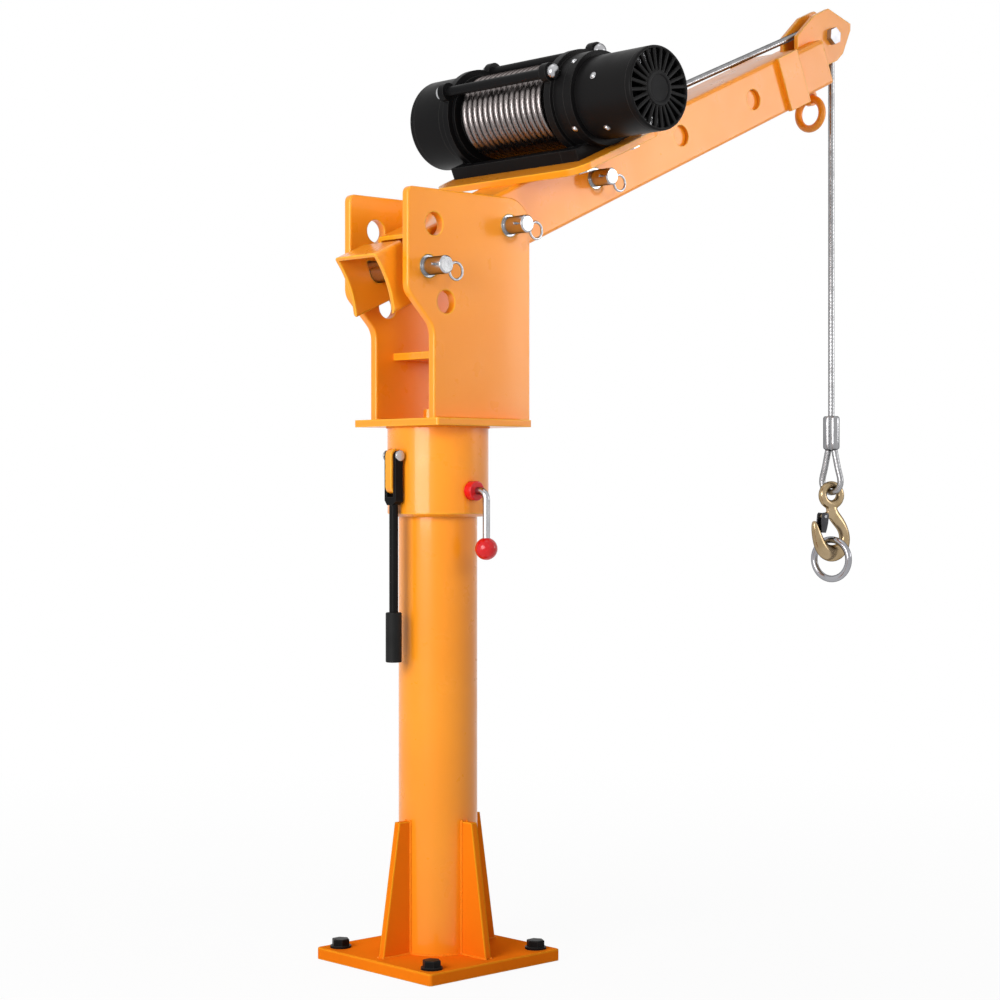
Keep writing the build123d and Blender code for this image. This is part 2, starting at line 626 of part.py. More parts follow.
# Slewing handle: a fork, a bridge and a rod in one piece
BRIDGE_TOP = HANDLE_Z - FORK_LENGTH
ROD_TOP = BRIDGE_TOP - FORK_BRIDGE
with BuildPart() as handle_rod:
    with BuildSketch(head_side(FORK_OUTER)):
        with Locations((HANDLE_X, HANDLE_Z)):
            Circle(FORK_WIDTH / 2)
        with Locations((HANDLE_X, (HANDLE_Z + ROD_TOP) / 2)):
            Rectangle(FORK_WIDTH, HANDLE_Z - ROD_TOP)
        with Locations((HANDLE_X, HANDLE_Z)):
            Circle(HANDLE_PIN_DIA / 2 + RUN_CLEARANCE, mode=Mode.SUBTRACT)
    extrude(amount=2 * FORK_OUTER)
    fork_slot_height = FORK_LENGTH + FORK_WIDTH
    with BuildSketch(head_side(FORK_INNER)):
        with Locations((HANDLE_X, BRIDGE_TOP + fork_slot_height / 2)):
            Rectangle(2 * FORK_WIDTH, fork_slot_height)
    extrude(amount=2 * FORK_INNER, mode=Mode.SUBTRACT)
    bridge_edges = handle_rod.edges().filter_by(Axis.X).sort_by(Axis.Z)[0:2]
    chamfer(bridge_edges, 0.6 * FORK_BRIDGE, 0.45 * FORK_OUTER)
    with BuildSketch(Plane(origin=(HANDLE_X, 0, ROD_TOP + FORK_BRIDGE / 2), z_dir=(0, 0, -1))):
        Circle(ROD_DIA / 2)
    extrude(amount=FORK_BRIDGE / 2 + ROD_LENGTH + GRIP_LENGTH - GRIP_END)
handle_rod.part.label = "handle_rod"
export_step(handle_rod.part, "parts/handle_rod.step")

with BuildPart() as handle_grip:
    with BuildSketch(Plane(origin=(HANDLE_X, 0, ROD_TOP - ROD_LENGTH), z_dir=(0, 0, -1))):
        Circle(GRIP_DIA / 2)
    extrude(amount=GRIP_LENGTH)
    fillet(handle_grip.edges(), GRIP_ROUND)
    with BuildSketch(Plane(origin=(HANDLE_X, 0, ROD_TOP - ROD_LENGTH), z_dir=(0, 0, -1))):
        Circle(ROD_DIA / 2)
    extrude(amount=GRIP_LENGTH - GRIP_END, mode=Mode.SUBTRACT)
handle_grip.part.label = "handle_grip"
export_step(handle_grip.part, "parts/handle_grip.step")

# Slewing lock: red bush, screw with bent lever, red ball
with BuildPart() as lock_boss:
    with BuildSketch(head_side(0)):
        with Locations((0, LOCK_Z)):
            Circle(BOSS_DIA / 2)
            Circle(LEVER_DIA / 2 + RUN_CLEARANCE, mode=Mode.SUBTRACT)
    extrude(amount=SLEEVE_RADIUS + BOSS_STAND_OUT)
    with BuildSketch(Plane.XY.offset(SLEEVE_UNDER)):
        Circle(SLEEVE_BORE_RADIUS)
    extrude(amount=SLEEVE_LENGTH, mode=Mode.SUBTRACT)
    fillet(lock_boss.faces().sort_by(Axis.Y)[0].outer_wire().edges(), BOSS_ROUND)
lock_boss.part.label = "lock_boss"
export_step(lock_boss.part, "parts/lock_boss.step")

LEVER_TIP = -(COLUMN_DIA / 2 + FACE_CLEARANCE)
LEVER_ELBOW = -(SLEEVE_RADIUS + LEVER_OUT)
with BuildPart() as lock_lever:
    with BuildLine() as lever_route:
        FilletPolyline(
            (0, LEVER_TIP, LOCK_Z),
            (0, LEVER_ELBOW, LOCK_Z),
            (0, LEVER_ELBOW, LOCK_Z - LEVER_DROP),
            radius=LEVER_BEND,
        )
    with BuildSketch(Plane(origin=(0, LEVER_TIP, LOCK_Z), z_dir=(0, -1, 0))):
        Circle(LEVER_DIA / 2)
    sweep(path=lever_route.wire())
lock_lever.part.label = "lock_lever"
export_step(lock_lever.part, "parts/lock_lever.step")

with BuildPart(Plane(origin=(0, LEVER_ELBOW, LOCK_Z - LEVER_DROP))) as lock_knob:
    Sphere(KNOB_DIA / 2)
    Cylinder(LEVER_DIA / 2, KNOB_DIA, align=(Align.CENTER, Align.CENTER, Align.MIN), mode=Mode.SUBTRACT)
lock_knob.part.label = "lock_knob"
export_step(lock_knob.part, "parts/lock_knob.step")

# Boom: square tube, open below at its tail, with a cross tube at the pivot, an open slot for the lock pin
# and a row of pin holes
PIVOT_TUBE_RADIUS = PIN_DIA / 2 + RUN_CLEARANCE + PIVOT_TUBE_WALL
LOCK_SLOT_WIDTH = PIN_DIA + 2 * FACE_CLEARANCE
SLOT_SWEEP = math.degrees(math.asin(BOOM_SIDE / 2 / (LOCK_RADIUS - LOCK_SLOT_WIDTH / 2))) + LOCK_TRAVEL / 2
boom_inside = BOOM_SIDE - 2 * BOOM_WALL
boom_inner_corner = max(BOOM_CORNER - BOOM_WALL, TUBE_INNER_CORNER)
tail_radius = (BOOM_SIDE**2 / 4 + TAIL_HOLLOW**2) / (2 * TAIL_HOLLOW)
with BuildPart() as boom_tube:
    with BuildSketch(boom_section(-BOOM_TAIL)):
        RectangleRounded(BOOM_SIDE, BOOM_SIDE, BOOM_CORNER)
        RectangleRounded(boom_inside, boom_inside, boom_inner_corner, mode=Mode.SUBTRACT)
    extrude(amount=BOOM_TAIL + BOOM_REACH)
    with BuildSketch(boom_side(0)):
        Circle(PIVOT_TUBE_RADIUS)
        with Locations((EXTENSION_FIRST, 0), (EXTENSION_SECOND, 0), (EXTENSION_SECOND + EXTENSION_PITCH, 0)):
            Circle(PIN_HOLE_DIA / 2)
        with BuildLine(mode=Mode.PRIVATE) as lock_arc:
            CenterArc((0, 0), LOCK_RADIUS, 180 - SLOT_SWEEP, SLOT_SWEEP)
        SlotArc(lock_arc.edge(), LOCK_SLOT_WIDTH)
        with Locations((TAIL_HOLLOW - BOOM_TAIL - tail_radius, 0)):
            Circle(tail_radius)
    extrude(amount=BOOM_SIDE, both=True, mode=Mode.SUBTRACT)
    with BuildSketch(boom_level(-BOOM_SIDE / 2)):
        with Locations((-BOOM_TAIL, 0)):
            Rectangle(2 * TAIL_OPEN, boom_inside)
    extrude(amount=BOOM_SIDE / 2, mode=Mode.SUBTRACT)
boom_tube.part.label = "boom_tube"
export_step(boom_tube.part, "parts/boom_tube.step")

PIVOT_TUBE_HALF = CHEEK_INNER - FACE_CLEARANCE
with BuildPart() as boom_pivot_tube:
    with BuildSketch(boom_side(PIVOT_TUBE_HALF)):
        Circle(PIVOT_TUBE_RADIUS)
        Circle(PIN_DIA / 2 + RUN_CLEARANCE, mode=Mode.SUBTRACT)
    extrude(amount=2 * PIVOT_TUBE_HALF)
boom_pivot_tube.part.label = "boom_pivot_tube"
export_step(boom_pivot_tube.part, "parts/boom_pivot_tube.step")

# Plates on the sides of the boom's mouth
with BuildPart() as mouth_doublers:
    with BuildSketch(boom_section(BOOM_REACH - DOUBLER_LENGTH)):
        for way in (1, -1):
            with Locations((way * (BOOM_SIDE + DOUBLER_THICK) / 2, 0)):
                Rectangle(DOUBLER_THICK, BOOM_SIDE)
    extrude(amount=DOUBLER_LENGTH)
mouth_doublers.part.label = "mouth_doublers"
export_step(mouth_doublers.part, "parts/mouth_doublers.step")

# Plate that carries the winch, and the bolts that hold the winch on it
with BuildPart() as winch_plate:
    with BuildSketch(boom_level(PLATE_UNDER)):
        with Locations((WINCH_X - WINCH_PLATE_BACK, -WINCH_PLATE_ASIDE)):
            RectangleRounded(WINCH_PLATE_LENGTH, WINCH_PLATE_WIDTH, WINCH_PLATE_CORNER)
        with Locations((WINCH_X, 0)):
            with GridLocations(WINCH_BOLT_ALONG, WINCH_BOLT_ACROSS, 2, 2):
                Circle(WINCH_BOLT_HOLE_DIA / 2, mode=Mode.SUBTRACT)
    extrude(amount=WINCH_PLATE_THICK)
winch_plate.part.label = "winch_plate"
export_step(winch_plate.part, "parts/winch_plate.step")

with BuildPart() as winch_bolts:
    with BuildSketch(boom_level(PLATE_UNDER - WINCH_BOLT_HEAD_HEIGHT)):
        with Locations((WINCH_X, 0)):
            with GridLocations(WINCH_BOLT_ALONG, WINCH_BOLT_ACROSS, 2, 2):
                RegularPolygon(WINCH_BOLT_HEAD_FLATS / 2, 6, major_radius=False)
    extrude(amount=WINCH_BOLT_HEAD_HEIGHT)
    with BuildSketch(boom_level(PLATE_UNDER)):
        with Locations((WINCH_X, 0)):
            with GridLocations(WINCH_BOLT_ALONG, WINCH_BOLT_ACROSS, 2, 2):
                Circle(WINCH_BOLT_DIA / 2)
    extrude(amount=WINCH_PLATE_THICK + WINCH_BOLT_GRIP)
winch_bolts.part.label = "winch_bolts"
export_step(winch_bolts.part, "parts/winch_bolts.step")

# The two brackets of the winch: a disc with ears for the tie rods, on a foot. A rail on the gear side's
# bracket joins the feet behind the drum; the rope leaves over the front.
TIE_ROD_LEVEL = WINCH_Z + TIE_ROD_UP
TIE_ROD_POINTS = ((WINCH_X - TIE_ROD_SIDE, TIE_ROD_LEVEL), (WINCH_X + TIE_ROD_SIDE, TIE_ROD_LEVEL))
GEAR_RIM_FACE = GEAR_BRACKET_INNER + GEAR_BRACKET_RIM
MOTOR_RIM_FACE = MOTOR_BRACKET_INNER + MOTOR_BRACKET_RIM
SHAFT_BORE_RADIUS = DRUM_SHAFT_DIA / 2 + RUN_CLEARANCE
BRACKETS = (
    (
        "gear_bracket", GEAR_RIM_FACE, GEAR_BRACKET_RIM,
        GEARBOX_START, GEAR_BRACKET_THICK, GEARBOX_RADIUS, GEAR_BRACKET_INNER + MOTOR_BRACKET_INNER,
    ),
    (
        "motor_bracket", -MOTOR_BRACKET_INNER, MOTOR_BRACKET_RIM,
        -MOTOR_BRACKET_INNER, MOTOR_BRACKET_THICK, MOTOR_FLANGE_RADIUS, 0.0,
    ),
)
for bracket_name, rim_start, rim_thick, body_start, body_thick, body_radius, rail_length in BRACKETS:
    with BuildPart() as bracket:
        with BuildSketch(boom_side(rim_start)):
            with Locations((WINCH_X, WINCH_Z)):
                Circle(BRACKET_RADIUS)
            for ear_x, ear_z in TIE_ROD_POINTS:
                with Locations((ear_x, ear_z)):
                    Circle(BRACKET_EAR_RADIUS)
            with Locations(((TIE_ROD_POINTS[0][0] + TIE_ROD_POINTS[1][0]) / 2, WINCH_Z + TIE_ROD_UP / 2)):
                Rectangle(2 * TIE_ROD_SIDE, TIE_ROD_UP)
        extrude(amount=rim_thick)
        with BuildSketch(boom_side(body_start)):
            with Locations((WINCH_X, WINCH_Z)):
                Circle(body_radius)
            with Locations((WINCH_X, PLATE_TOP + BRACKET_FOOT_HEIGHT / 2)):
                Rectangle(BRACKET_FOOT_LENGTH, BRACKET_FOOT_HEIGHT)
        extrude(amount=body_thick)
        if rail_length > 0:
            rail_x = WINCH_X - (BRACKET_FOOT_LENGTH - RAIL_WIDTH) / 2
            with BuildSketch(boom_side(GEAR_BRACKET_INNER)):
                with Locations((rail_x, PLATE_TOP + BRACKET_FOOT_HEIGHT / 2)):
                    Rectangle(RAIL_WIDTH, BRACKET_FOOT_HEIGHT)
            extrude(amount=rail_length)
        with BuildSketch(boom_side(0)):
            with Locations((WINCH_X, WINCH_Z)):
                Circle(SHAFT_BORE_RADIUS)
            with Locations(*TIE_ROD_POINTS):
                Circle(TIE_ROD_DIA / 2)
            with Locations((WINCH_X, PLATE_TOP - BRACKET_RADIUS)):
                Rectangle(2 * BRACKET_FOOT_LENGTH, 2 * BRACKET_RADIUS)
        extrude(amount=WINCH_PLATE_WIDTH, both=True, mode=Mode.SUBTRACT)
        with BuildSketch(boom_level(PLATE_TOP)):
            with Locations((WINCH_X, 0)):
                with GridLocations(WINCH_BOLT_ALONG, WINCH_BOLT_ACROSS, 2, 2):
                    Circle(WINCH_BOLT_DIA / 2)
        extrude(amount=WINCH_BOLT_GRIP, mode=Mode.SUBTRACT)
    bracket.part.label = bracket_name
    export_step(bracket.part, "parts/" + bracket_name + ".step")

# Tie rods with a nut at each end
with BuildPart() as tie_rods:
    with BuildSketch(boom_side(GEAR_RIM_FACE)):
        with Locations(*TIE_ROD_POINTS):
            Circle(TIE_ROD_DIA / 2)
    extrude(amount=GEAR_RIM_FACE + MOTOR_RIM_FACE)
    for nut_start in (GEAR_RIM_FACE + TIE_NUT_HEIGHT, -MOTOR_RIM_FACE):
        with BuildSketch(boom_side(nut_start)):
            with Locations(*TIE_ROD_POINTS):
                RegularPolygon(TIE_NUT_DIA / 2, 6)
        extrude(amount=TIE_NUT_HEIGHT)
tie_rods.part.label = "tie_rods"
export_step(tie_rods.part, "parts/tie_rods.step")

# Gear case: a hollow cup and its end cover
GEARBOX_END = GEARBOX_START + GEARBOX_LENGTH
with BuildPart() as gearbox_housing:
    with BuildSketch(boom_side(GEARBOX_END)):
        with Locations((WINCH_X, WINCH_Z)):
            Circle(GEARBOX_RADIUS)
    extrude(amount=GEARBOX_LENGTH)
    with BuildSketch(boom_side(GEARBOX_END)):
        with Locations((WINCH_X, WINCH_Z)):
            Circle(GEARBOX_RADIUS - GEARBOX_WALL)
    extrude(amount=GEARBOX_LENGTH - GEARBOX_WALL, mode=Mode.SUBTRACT)
    with BuildSketch(boom_side(GEARBOX_END)):
        with Locations((WINCH_X, WINCH_Z)):
            Circle(SHAFT_BORE_RADIUS)
    extrude(amount=GEARBOX_LENGTH, mode=Mode.SUBTRACT)
gearbox_housing.part.label = "gearbox_housing"
export_step(gearbox_housing.part, "parts/gearbox_housing.step")

with BuildPart() as gearbox_cover:
    with BuildSketch(boom_side(GEARBOX_END + GEARBOX_COVER_THICK)):
        with Locations((WINCH_X, WINCH_Z)):
            Circle(GEARBOX_RADIUS)
    extrude(amount=GEARBOX_COVER_THICK)
    fillet(gearbox_cover.faces().sort_by(Axis.Y)[-1].edges(), GEARBOX_COVER_ROUND)
gearbox_cover.part.label = "gearbox_cover"
export_step(gearbox_cover.part, "parts/gearbox_cover.step")

# Motor: mounting flange, hollow can, fixed winding pack and end grille
with BuildPart() as motor_flange:
    with BuildSketch(boom_side(-MOTOR_FLANGE_START)):
        with Locations((WINCH_X, WINCH_Z)):
            Circle(MOTOR_FLANGE_RADIUS)
            Circle(SHAFT_BORE_RADIUS, mode=Mode.SUBTRACT)
    extrude(amount=MOTOR_FLANGE_THICK)
    with BuildSketch(boom_level(PLATE_TOP - BRACKET_RADIUS)):
        with Locations((WINCH_X, 0)):
            Rectangle(WINCH_PLATE_LENGTH, 2 * WINCH_PLATE_WIDTH)
    extrude(amount=BRACKET_RADIUS + FACE_CLEARANCE, mode=Mode.SUBTRACT)
motor_flange.part.label = "motor_flange"
export_step(motor_flange.part, "parts/motor_flange.step")

with BuildPart() as motor_can:
    with BuildSketch(boom_side(-MOTOR_CAN_START)):
        with Locations((WINCH_X, WINCH_Z)):
            Circle(MOTOR_RADIUS)
            Circle(MOTOR_RADIUS - MOTOR_WALL, mode=Mode.SUBTRACT)
    extrude(amount=MOTOR_CAN_LENGTH)
motor_can.part.label = "motor_can"
export_step(motor_can.part, "parts/motor_can.step")

with BuildPart() as motor_stator:
    with BuildSketch(boom_side(-(MOTOR_CAN_START + (MOTOR_CAN_LENGTH - STATOR_LENGTH) / 2))):
        with Locations((WINCH_X, WINCH_Z)):
            Circle(MOTOR_RADIUS - MOTOR_WALL)
            Circle(STATOR_BORE_RADIUS, mode=Mode.SUBTRACT)
    extrude(amount=STATOR_LENGTH)
motor_stator.part.label = "motor_stator"
export_step(motor_stator.part, "parts/motor_stator.step")

GRILLE_RIB_MIDDLE = (GRILLE_HUB_RADIUS + MOTOR_RADIUS - GRILLE_RIM) / 2
GRILLE_RIB_LENGTH = MOTOR_RADIUS - GRILLE_RIM - GRILLE_HUB_RADIUS + 2 * GRILLE_RIB_ROOT
with BuildPart() as motor_grille:
    with BuildSketch(boom_side(-GRILLE_START)):
        with Locations((WINCH_X, WINCH_Z)):
            Circle(MOTOR_RADIUS)
            Circle(MOTOR_RADIUS - GRILLE_RIM, mode=Mode.SUBTRACT)
            Circle(GRILLE_HUB_RADIUS)
            with PolarLocations(GRILLE_RIB_MIDDLE, GRILLE_RIB_COUNT):
                Rectangle(GRILLE_RIB_LENGTH, GRILLE_RIB_WIDTH)
    extrude(amount=GRILLE_THICK)
motor_grille.part.label = "motor_grille"
export_step(motor_grille.part, "parts/motor_grille.step")

# Drum: hollow barrel with two flanges, on a shaft in the brackets
DRUM_FAR = GEAR_BRACKET_INNER - FACE_CLEARANCE
DRUM_NEAR = MOTOR_BRACKET_INNER - FACE_CLEARANCE
with BuildPart() as drum_barrel:
    with BuildSketch(boom_side(DRUM_FAR)):
        with Locations((WINCH_X, WINCH_Z)):
            Circle(DRUM_RADIUS)
            Circle(DRUM_RADIUS - DRUM_WALL, mode=Mode.SUBTRACT)
    extrude(amount=DRUM_FAR + DRUM_NEAR)
    for flange_start in (DRUM_FAR, -DRUM_NEAR + DRUM_FLANGE_THICK):
        with BuildSketch(boom_side(flange_start)):
            with Locations((WINCH_X, WINCH_Z)):
                Circle(DRUM_FLANGE_RADIUS)
                Circle(DRUM_SHAFT_DIA / 2, mode=Mode.SUBTRACT)
        extrude(amount=DRUM_FLANGE_THICK)
drum_barrel.part.label = "drum_barrel"
export_step(drum_barrel.part, "parts/drum_barrel.step")

with BuildPart() as drum_shaft:
    with BuildSketch(boom_side(GEARBOX_START + GEARBOX_WALL)):
        with Locations((WINCH_X, WINCH_Z)):
            Circle(DRUM_SHAFT_DIA / 2)
    extrude(amount=GEARBOX_START + GEARBOX_WALL + MOTOR_FLANGE_START + MOTOR_FLANGE_THICK)
drum_shaft.part.label = "drum_shaft"
export_step(drum_shaft.part, "parts/drum_shaft.step")

# The rope leaves the drum below its axis and reaches the sheave above its axle: a crossed tangent
centre_along = SHEAVE_X - WINCH_X
centre_up = SHEAVE_UP - WINCH_Z
centre_distance = math.hypot(centre_along, centre_up)
RUN_TURN = math.asin((WIND_RADIUS + SHEAVE_RADIUS) / centre_distance) + math.atan2(centre_up, centre_along)
RUN_ALONG = ALONG * math.cos(RUN_TURN) + UPWARD * math.sin(RUN_TURN)
RUN_UP = UPWARD * math.cos(RUN_TURN) - ALONG * math.sin(RUN_TURN)
DRUM_CENTRE = boom_point(WINCH_X, 0, WINCH_Z)
SHEAVE_CENTRE = boom_point(SHEAVE_X, 0, SHEAVE_UP)
RUN_START = DRUM_CENTRE - RUN_UP * WIND_RADIUS
RUN_END = SHEAVE_CENTRE + RUN_UP * SHEAVE_RADIUS
ROPE_LEAD = RUN_ALONG * ROPE_DIA


def winding_points(start_across, turns, way, level_start):
    """Points and tangents of a winding at each half turn, from below the drum's axis up its rear side."""
    rows = []
    for half in range(int(2 * turns) + 1):
        angle = math.pi * half
        centre = DRUM_CENTRE + ACROSS * (start_across + way * ROPE_PITCH * half / 2)
        spot = centre - RUN_ALONG * (WIND_RADIUS * math.sin(angle)) - RUN_UP * (WIND_RADIUS * math.cos(angle))
        heading = RUN_UP * (WIND_RADIUS * math.sin(angle)) - RUN_ALONG * (WIND_RADIUS * math.cos(angle))
        if half > 0 or not level_start:
            heading = heading + ACROSS * (way * ROPE_PITCH / (2 * math.pi))
        rows.append((spot, heading.normalized()))
    return rows


def biarc_joint(first, first_way, last, last_way):
    """Joint of two arcs that leave one point and reach another along given directions."""
    span = last - first
    total = first_way + last_way
    square = total.dot(total) - 4
    reach = span.dot(total)
    root = math.sqrt(reach * reach - square * span.dot(span))
    step = (reach - root) / square
    return (first + first_way * step + last - last_way * step) * 0.5, (
        last - last_way * step - first - first_way * step
    ).normalized()


def least_gap(rows):
    """Least gap between neighbouring turns, measured on points along the swept arcs."""
    spots = []
    for (first, first_way), (last, last_way) in zip(rows, rows[1:]):
        joint, joint_way = biarc_joint(first, first_way, last, last_way)
        for begin, begin_way, end in ((first, first_way, joint), (joint, joint_way, last)):
            arc = Edge.make_tangent_arc(begin, begin_way, end)
            spots.extend(arc.position_at(share / 12) for share in range(12))
    turn = 4 * 12
    reach = range(turn - 6, turn + 7)
    return min(
        (spots[index] - spots[index + hop]).length for index in range(len(spots)) for hop in reach
        if index + hop < len(spots)
    ) - ROPE_DIA


# Windings of the rope: the far one leads into the run, the near one is the wraps beside it
WINDINGS = (
    ("rope_winding_far", 0.0, FAR_TURNS, 1, True),
    ("rope_winding_near", -ROPE_PITCH, NEAR_TURNS, -1, False),
)
for winding_name, start_across, turns, way, level_start in WINDINGS:
    rows = winding_points(start_across, turns, way, level_start)
    with BuildPart() as winding:
        with BuildLine() as winding_route:
            first_spot, first_way = rows[0]
            Line(first_spot - first_way * ROPE_DIA, first_spot)
            for (spot, spot_way), (next_spot, next_way) in zip(rows, rows[1:]):
                joint, joint_way = biarc_joint(spot, spot_way, next_spot, next_way)
                TangentArc(spot, joint, tangent=spot_way)
                TangentArc(joint, next_spot, tangent=joint_way)
            last_spot, last_way = rows[-1]
            Line(last_spot, last_spot + last_way * ROPE_DIA)
        with BuildSketch(Plane(origin=first_spot - first_way * ROPE_DIA, z_dir=first_way)):
            Circle(ROPE_DIA / 2)
        sweep(path=winding_route.wire())
    winding.part.label = winding_name
    export_step(winding.part, "parts/" + winding_name + ".step")
    section = math.pi * ROPE_DIA**2 / 4
    print(
        winding_name, "least gap", round(least_gap(rows), 3),
        "volume share", round(winding.part.volume / (section * winding_route.wire().length), 4),
    )

# Straight run of the rope from the drum to the sheave
with BuildPart() as rope_run:
    with BuildSketch(Plane(origin=RUN_START + ROPE_LEAD, z_dir=RUN_ALONG)):
        Circle(ROPE_DIA / 2)
    extrude(amount=(RUN_END - RUN_START - ROPE_LEAD).length)
rope_run.part.label = "rope_run"
export_step(rope_run.part, "parts/rope_run.step")

# Jib: square tube with a slot in its top for the sheave plates
jib_inside = JIB_SIDE - 2 * JIB_WALL
jib_inner_corner = max(JIB_CORNER - JIB_WALL, TUBE_INNER_CORNER)
with BuildPart() as jib_tube:
    with BuildSketch(boom_section(JIB_REAR)):
        RectangleRounded(JIB_SIDE, JIB_SIDE, JIB_CORNER)
        RectangleRounded(jib_inside, jib_inside, jib_inner_corner, mode=Mode.SUBTRACT)
    extrude(amount=JIB_LENGTH)
    with BuildSketch(boom_level(0)):
        with Locations((JIB_TIP, 0)):
            Rectangle(2 * SHEAVE_PLATE_BACK, 2 * SHEAVE_PLATE_OUTER)
    extrude(amount=JIB_SIDE, mode=Mode.SUBTRACT)
jib_tube.part.label = "jib_tube"
export_step(jib_tube.part, "parts/jib_tube.step")

# Sheave plates: they stand in the jib's slot and reach past its end to the axle
PLATE_LOW = SHEAVE_UP - SHEAVE_PLATE_DEPTH
plate_rear = JIB_TIP - SHEAVE_PLATE_BACK
with BuildPart() as sheave_plates:
    for plate_face in (SHEAVE_PLATE_OUTER, -SHEAVE_PLATE_GAP / 2):
        with BuildSketch(boom_side(plate_face)):
            with BuildLine():
                Polyline(
                    (plate_rear, PLATE_LOW),
                    (SHEAVE_X - SHEAVE_PLATE_HEEL, PLATE_LOW),
                    (SHEAVE_X + SHEAVE_PLATE_CHIN, PLATE_LOW + SHEAVE_PLATE_CHIN_RISE),
                    (SHEAVE_X + SHEAVE_PLATE_NOSE - SHEAVE_PLATE_CORNER, SHEAVE_UP - SHEAVE_PLATE_CORNER),
                    (SHEAVE_X + SHEAVE_PLATE_NOSE, SHEAVE_UP + SHEAVE_PLATE_CORNER),
                    (SHEAVE_X + SHEAVE_PLATE_TOP_FRONT, SHEAVE_UP + SHEAVE_PLATE_CROWN),
                    (SHEAVE_X - SHEAVE_PLATE_TOP_REAR, SHEAVE_UP + SHEAVE_PLATE_CROWN),
                    (plate_rear + SHEAVE_PLATE_BACK_LEAN, SHEAVE_UP + SHEAVE_PLATE_BACK_RISE),
                    (plate_rear, JIB_SIDE / 2),
                    close=True,
                )
            make_face()
            with Locations((SHEAVE_X, SHEAVE_UP)):
                Circle(AXLE_DIA / 2, mode=Mode.SUBTRACT)
        extrude(amount=SHEAVE_PLATE_THICK)
sheave_plates.part.label = "sheave_plates"
export_step(sheave_plates.part, "parts/sheave_plates.step")

with BuildPart() as sheave_axle:
    with BuildSketch(boom_side(SHEAVE_PLATE_OUTER)):
        with Locations((SHEAVE_X, SHEAVE_UP)):
            Circle(AXLE_DIA / 2)
    extrude(amount=2 * SHEAVE_PLATE_OUTER)
    for head_start in (SHEAVE_PLATE_OUTER + AXLE_HEAD_HEIGHT, -SHEAVE_PLATE_OUTER):
        with BuildSketch(boom_side(head_start)):
            with Locations((SHEAVE_X, SHEAVE_UP)):
                RegularPolygon(AXLE_HEAD_FLATS / 2, 6, major_radius=False)
        extrude(amount=AXLE_HEAD_HEIGHT)
sheave_axle.part.label = "sheave_axle"
export_step(sheave_axle.part, "parts/sheave_axle.step")

# Sheave with a round groove
GROOVE_RADIUS = ROPE_DIA / 2 + FACE_CLEARANCE
SHEAVE_RIM_RADIUS = SHEAVE_RADIUS + SHEAVE_RIM
with BuildPart() as sheave:
    with BuildSketch(boom_section(SHEAVE_X)):
        with BuildLine():
            Polyline(
                (-SHEAVE_HALF_WIDTH, SHEAVE_UP + AXLE_DIA / 2 + SHEAVE_HUB_CLEARANCE),
                (SHEAVE_HALF_WIDTH, SHEAVE_UP + AXLE_DIA / 2 + SHEAVE_HUB_CLEARANCE),
                (SHEAVE_HALF_WIDTH, SHEAVE_UP + SHEAVE_RIM_RADIUS),
                (GROOVE_RADIUS + GROOVE_FLARE, SHEAVE_UP + SHEAVE_RIM_RADIUS),
                (GROOVE_RADIUS, SHEAVE_UP + SHEAVE_RADIUS),
            )
            RadiusArc(
                (GROOVE_RADIUS, SHEAVE_UP + SHEAVE_RADIUS),
                (-GROOVE_RADIUS, SHEAVE_UP + SHEAVE_RADIUS),
                GROOVE_RADIUS,
            )
            Polyline(
                (-GROOVE_RADIUS, SHEAVE_UP + SHEAVE_RADIUS),
                (-GROOVE_RADIUS - GROOVE_FLARE, SHEAVE_UP + SHEAVE_RIM_RADIUS),
                (-SHEAVE_HALF_WIDTH, SHEAVE_UP + SHEAVE_RIM_RADIUS),
                (-SHEAVE_HALF_WIDTH, SHEAVE_UP + AXLE_DIA / 2 + SHEAVE_HUB_CLEARANCE),
            )
        make_face()
    revolve(axis=Axis(SHEAVE_CENTRE, (0, 1, 0)))
sheave.part.label = "sheave"
export_step(sheave.part, "parts/sheave.step")

# Rope over the sheave, from the run to the fall
FALL_TOP = SHEAVE_CENTRE + Vector(SHEAVE_RADIUS, 0, 0)
wrap_middle = (RUN_UP + Vector(1, 0, 0)).normalized()
with BuildPart() as rope_over_sheave:
    with BuildLine() as wrap_route:
        ThreePointArc(RUN_END, SHEAVE_CENTRE + wrap_middle * SHEAVE_RADIUS, FALL_TOP)
    with BuildSketch(Plane(origin=RUN_END, z_dir=RUN_ALONG)):
        Circle(ROPE_DIA / 2)
    sweep(path=wrap_route.wire())
rope_over_sheave.part.label = "rope_over_sheave"
export_step(rope_over_sheave.part, "parts/rope_over_sheave.step")

# Ear under the jib's nose and the ring that hangs in it
LUG_X = JIB_TIP - RING_LUG_BACK
LUG_Z = -JIB_SIDE / 2 - RING_LUG_DROP
with BuildPart() as ring_lug:
    with BuildSketch(boom_side(RING_LUG_THICK / 2)):
        with Locations((LUG_X, LUG_Z + RING_LUG_DROP / 2)):
            Rectangle(2 * RING_LUG_RADIUS, RING_LUG_DROP)
        with Locations((LUG_X, LUG_Z)):
            Circle(RING_LUG_RADIUS)
            Circle(RING_HOLE_DIA / 2, mode=Mode.SUBTRACT)
    extrude(amount=RING_LUG_THICK)
ring_lug.part.label = "ring_lug"
export_step(ring_lug.part, "parts/ring_lug.step")

